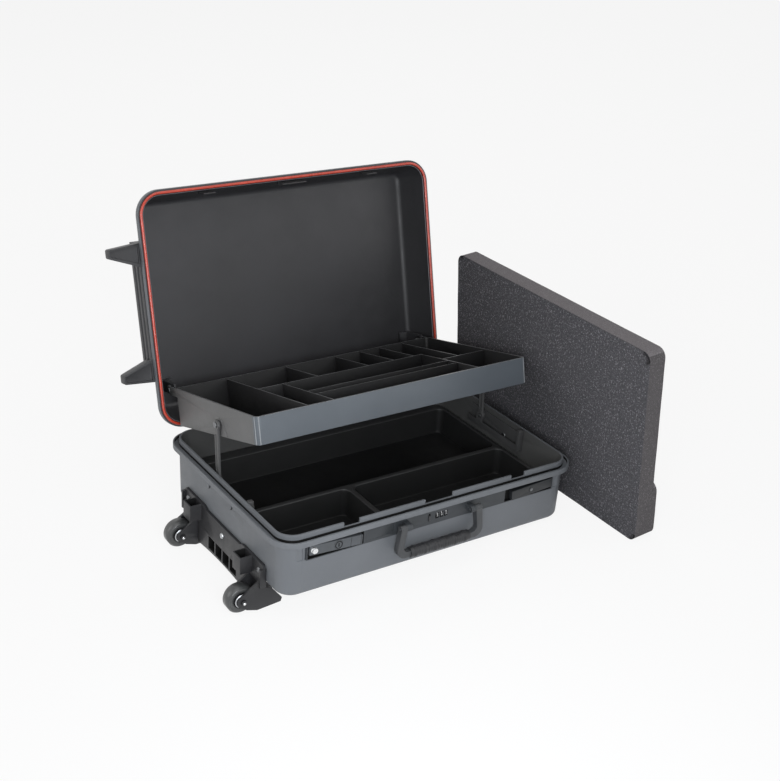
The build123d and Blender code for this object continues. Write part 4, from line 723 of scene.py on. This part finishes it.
mesh.normal_update()
for vertex in mesh.verts:
    drift = (noise.noise(vertex.co * slab["grain"]) * slab["shares"][0]
             + noise.noise(vertex.co * slab["grain"] * slab["fine"]) * slab["shares"][1])
    vertex.co += vertex.normal * (drift - slab["sunk"]) * slab["uneven"]
mesh.to_mesh(foamSlab.data)
mesh.free()
# the skived faces, the sawn edges painted paler, and the top painted paler still: painted light
paintFaces(foamSlab, lambda point, normal: 0 if abs(normal.x) > slab["face"] else 2 if normal.z > slab["top"] else 1,
           slabTurn.transposed().to_4x4())
shadeByAngle(foamSlab, 60)
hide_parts("foam_slab")
print("foam slab made:", len(foamSlab.data.polygons), "faces")

floor = {"offset": -0.0213, "size": 60.0, "colour": 0.86, "glow": 0.88}
studio = {
    "camera": (-0.96655, -1.41083, 0.99435), "yaw": 35.10, "pitch": 25.22, "roll": 3.97, "lens": 60.683,
    "ambient": (0.60, 0.12), "overhead": 0.9,  # at the horizon and overhead, and where overhead starts
    "lamps": (  # name, place, aim, size, power, colour
        ("keyLamp", (-0.50, -0.88, 0.46), (-0.20, -0.15, 0.10), 0.40, 5.8, (0.91, 0.95, 1.0)),
        ("sideLamp", (-1.9, 0.6, 0.9), (-0.2, 0.1, 0.1), 1.2, 7, (1.0, 0.99, 0.98)),
        ("topLamp", (-0.2, -0.5, 2.2), (-0.1, 0.0, 0.1), 1.6, 9, (1.0, 1.0, 1.0)),
        ("fillLamp", (2.0, -1.6, 1.0), (0.2, 0.0, 0.1), 1.6, 9, (1.0, 1.0, 1.0)),
        ("backLamp", (0.6, 2.2, 2.2), (0.0, 0.1, 0.2), 1.6, 12, (1.0, 1.0, 1.0)),
    ),
}


# 1 for what the camera sees by itself, in a reflection or through glass, and 0 for light on the object
def seenRays(tree):
    ray = addNode(tree, "ShaderNodeLightPath")
    seen = addNode(tree, "ShaderNodeMath", {0: ray.outputs["Is Camera Ray"], 1: ray.outputs["Is Glossy Ray"]},
                   operation="MAXIMUM")
    return addNode(tree, "ShaderNodeMath", {0: seen.outputs[0], 1: ray.outputs["Is Transmission Ray"]},
                   operation="MAXIMUM").outputs[0]


# the floor leans in the case's frame, because the case leans on its wheels; from below it lets the view through
lean = math.radians(linkage["lean"])
up = Vector((-math.sin(lean), 0, math.cos(lean)))
across = Vector((math.cos(lean), 0, math.sin(lean)))
half = floor["size"] / 2
ground = bpy.data.meshes.new("ground")
corners = [up * floor["offset"] + across * a * half + Vector((0, b * half, 0))
           for a, b in ((-1, -1), (1, -1), (1, 1), (-1, 1))]
ground.from_pydata(corners, [], [(0, 1, 2, 3)])
groundPiece = addObject("ground", ground)
material, tree, place = startMaterial("paperFloor")
matte = addNode(tree, "ShaderNodeBsdfDiffuse", {"Color": (floor["colour"],) * 3 + (1,)})
glow = addNode(tree, "ShaderNodeEmission", {"Color": (1, 1, 1, 1), "Strength": 1.0})
share = addNode(tree, "ShaderNodeMath", {0: seenRays(tree), 1: floor["glow"]}, operation="MULTIPLY")
lit = addNode(tree, "ShaderNodeMixShader", {0: share.outputs[0], 1: matte.outputs[0], 2: glow.outputs[0]})
clear = addNode(tree, "ShaderNodeBsdfTransparent")
facing = addNode(tree, "ShaderNodeNewGeometry")
shown = addNode(tree, "ShaderNodeMixShader", {0: facing.outputs["Backfacing"], 1: lit.outputs[0],
                                              2: clear.outputs[0]})
endMaterial(tree, shown.outputs[0])
ground.materials.append(material)

# white behind the object; on the object the light comes mostly from round the horizon
world = bpy.data.worlds.new("studio")
bpy.context.scene.world = world
world.use_nodes = True
sky = world.node_tree
sky.nodes.clear()
seen = seenRays(sky)
ways = addNode(sky, "ShaderNodeSeparateXYZ", {"Vector": addNode(sky, "ShaderNodeTexCoord").outputs["Generated"]})
dome = addNode(sky, "ShaderNodeMapRange", {
    "Value": ways.outputs["Z"], "From Min": 0.0, "From Max": studio["overhead"],
    "To Min": studio["ambient"][0], "To Max": studio["ambient"][1]})
strength = addNode(sky, "ShaderNodeMapRange", {"Value": seen, "To Min": dome.outputs["Result"], "To Max": 1.0})
backdrop = addNode(sky, "ShaderNodeBackground", {"Color": (1, 1, 1, 1), "Strength": strength.outputs[0]})
addNode(sky, "ShaderNodeOutputWorld", {"Surface": backdrop.outputs[0]})

for name, spot, aim, size, power, tint in studio["lamps"]:
    lamp = bpy.data.lights.new(name, "AREA")
    lamp.size = size
    lamp.energy = power
    lamp.color = tint
    holder = addObject(name, lamp)
    holder.visible_camera = False
    holder.location = spot
    holder.rotation_euler = (Vector(aim) - Vector(spot)).to_track_quat("-Z", "Y").to_euler()

lens = bpy.data.cameras.new("camera")
lens.lens = studio["lens"]
lens.sensor_width = 36.0
lens.sensor_fit = "HORIZONTAL"
camera = addObject("camera", lens)
turn = (Matrix.Rotation(-math.radians(studio["yaw"]), 4, "Z")
        @ Matrix.Rotation(math.radians(90 - studio["pitch"]), 4, "X")
        @ Matrix.Rotation(math.radians(studio["roll"]), 4, "Z"))
camera.matrix_world = Matrix.Translation(studio["camera"]) @ turn
bpy.context.scene.camera = camera
bpy.context.scene.view_settings.view_transform = "Standard"
print("stage set")
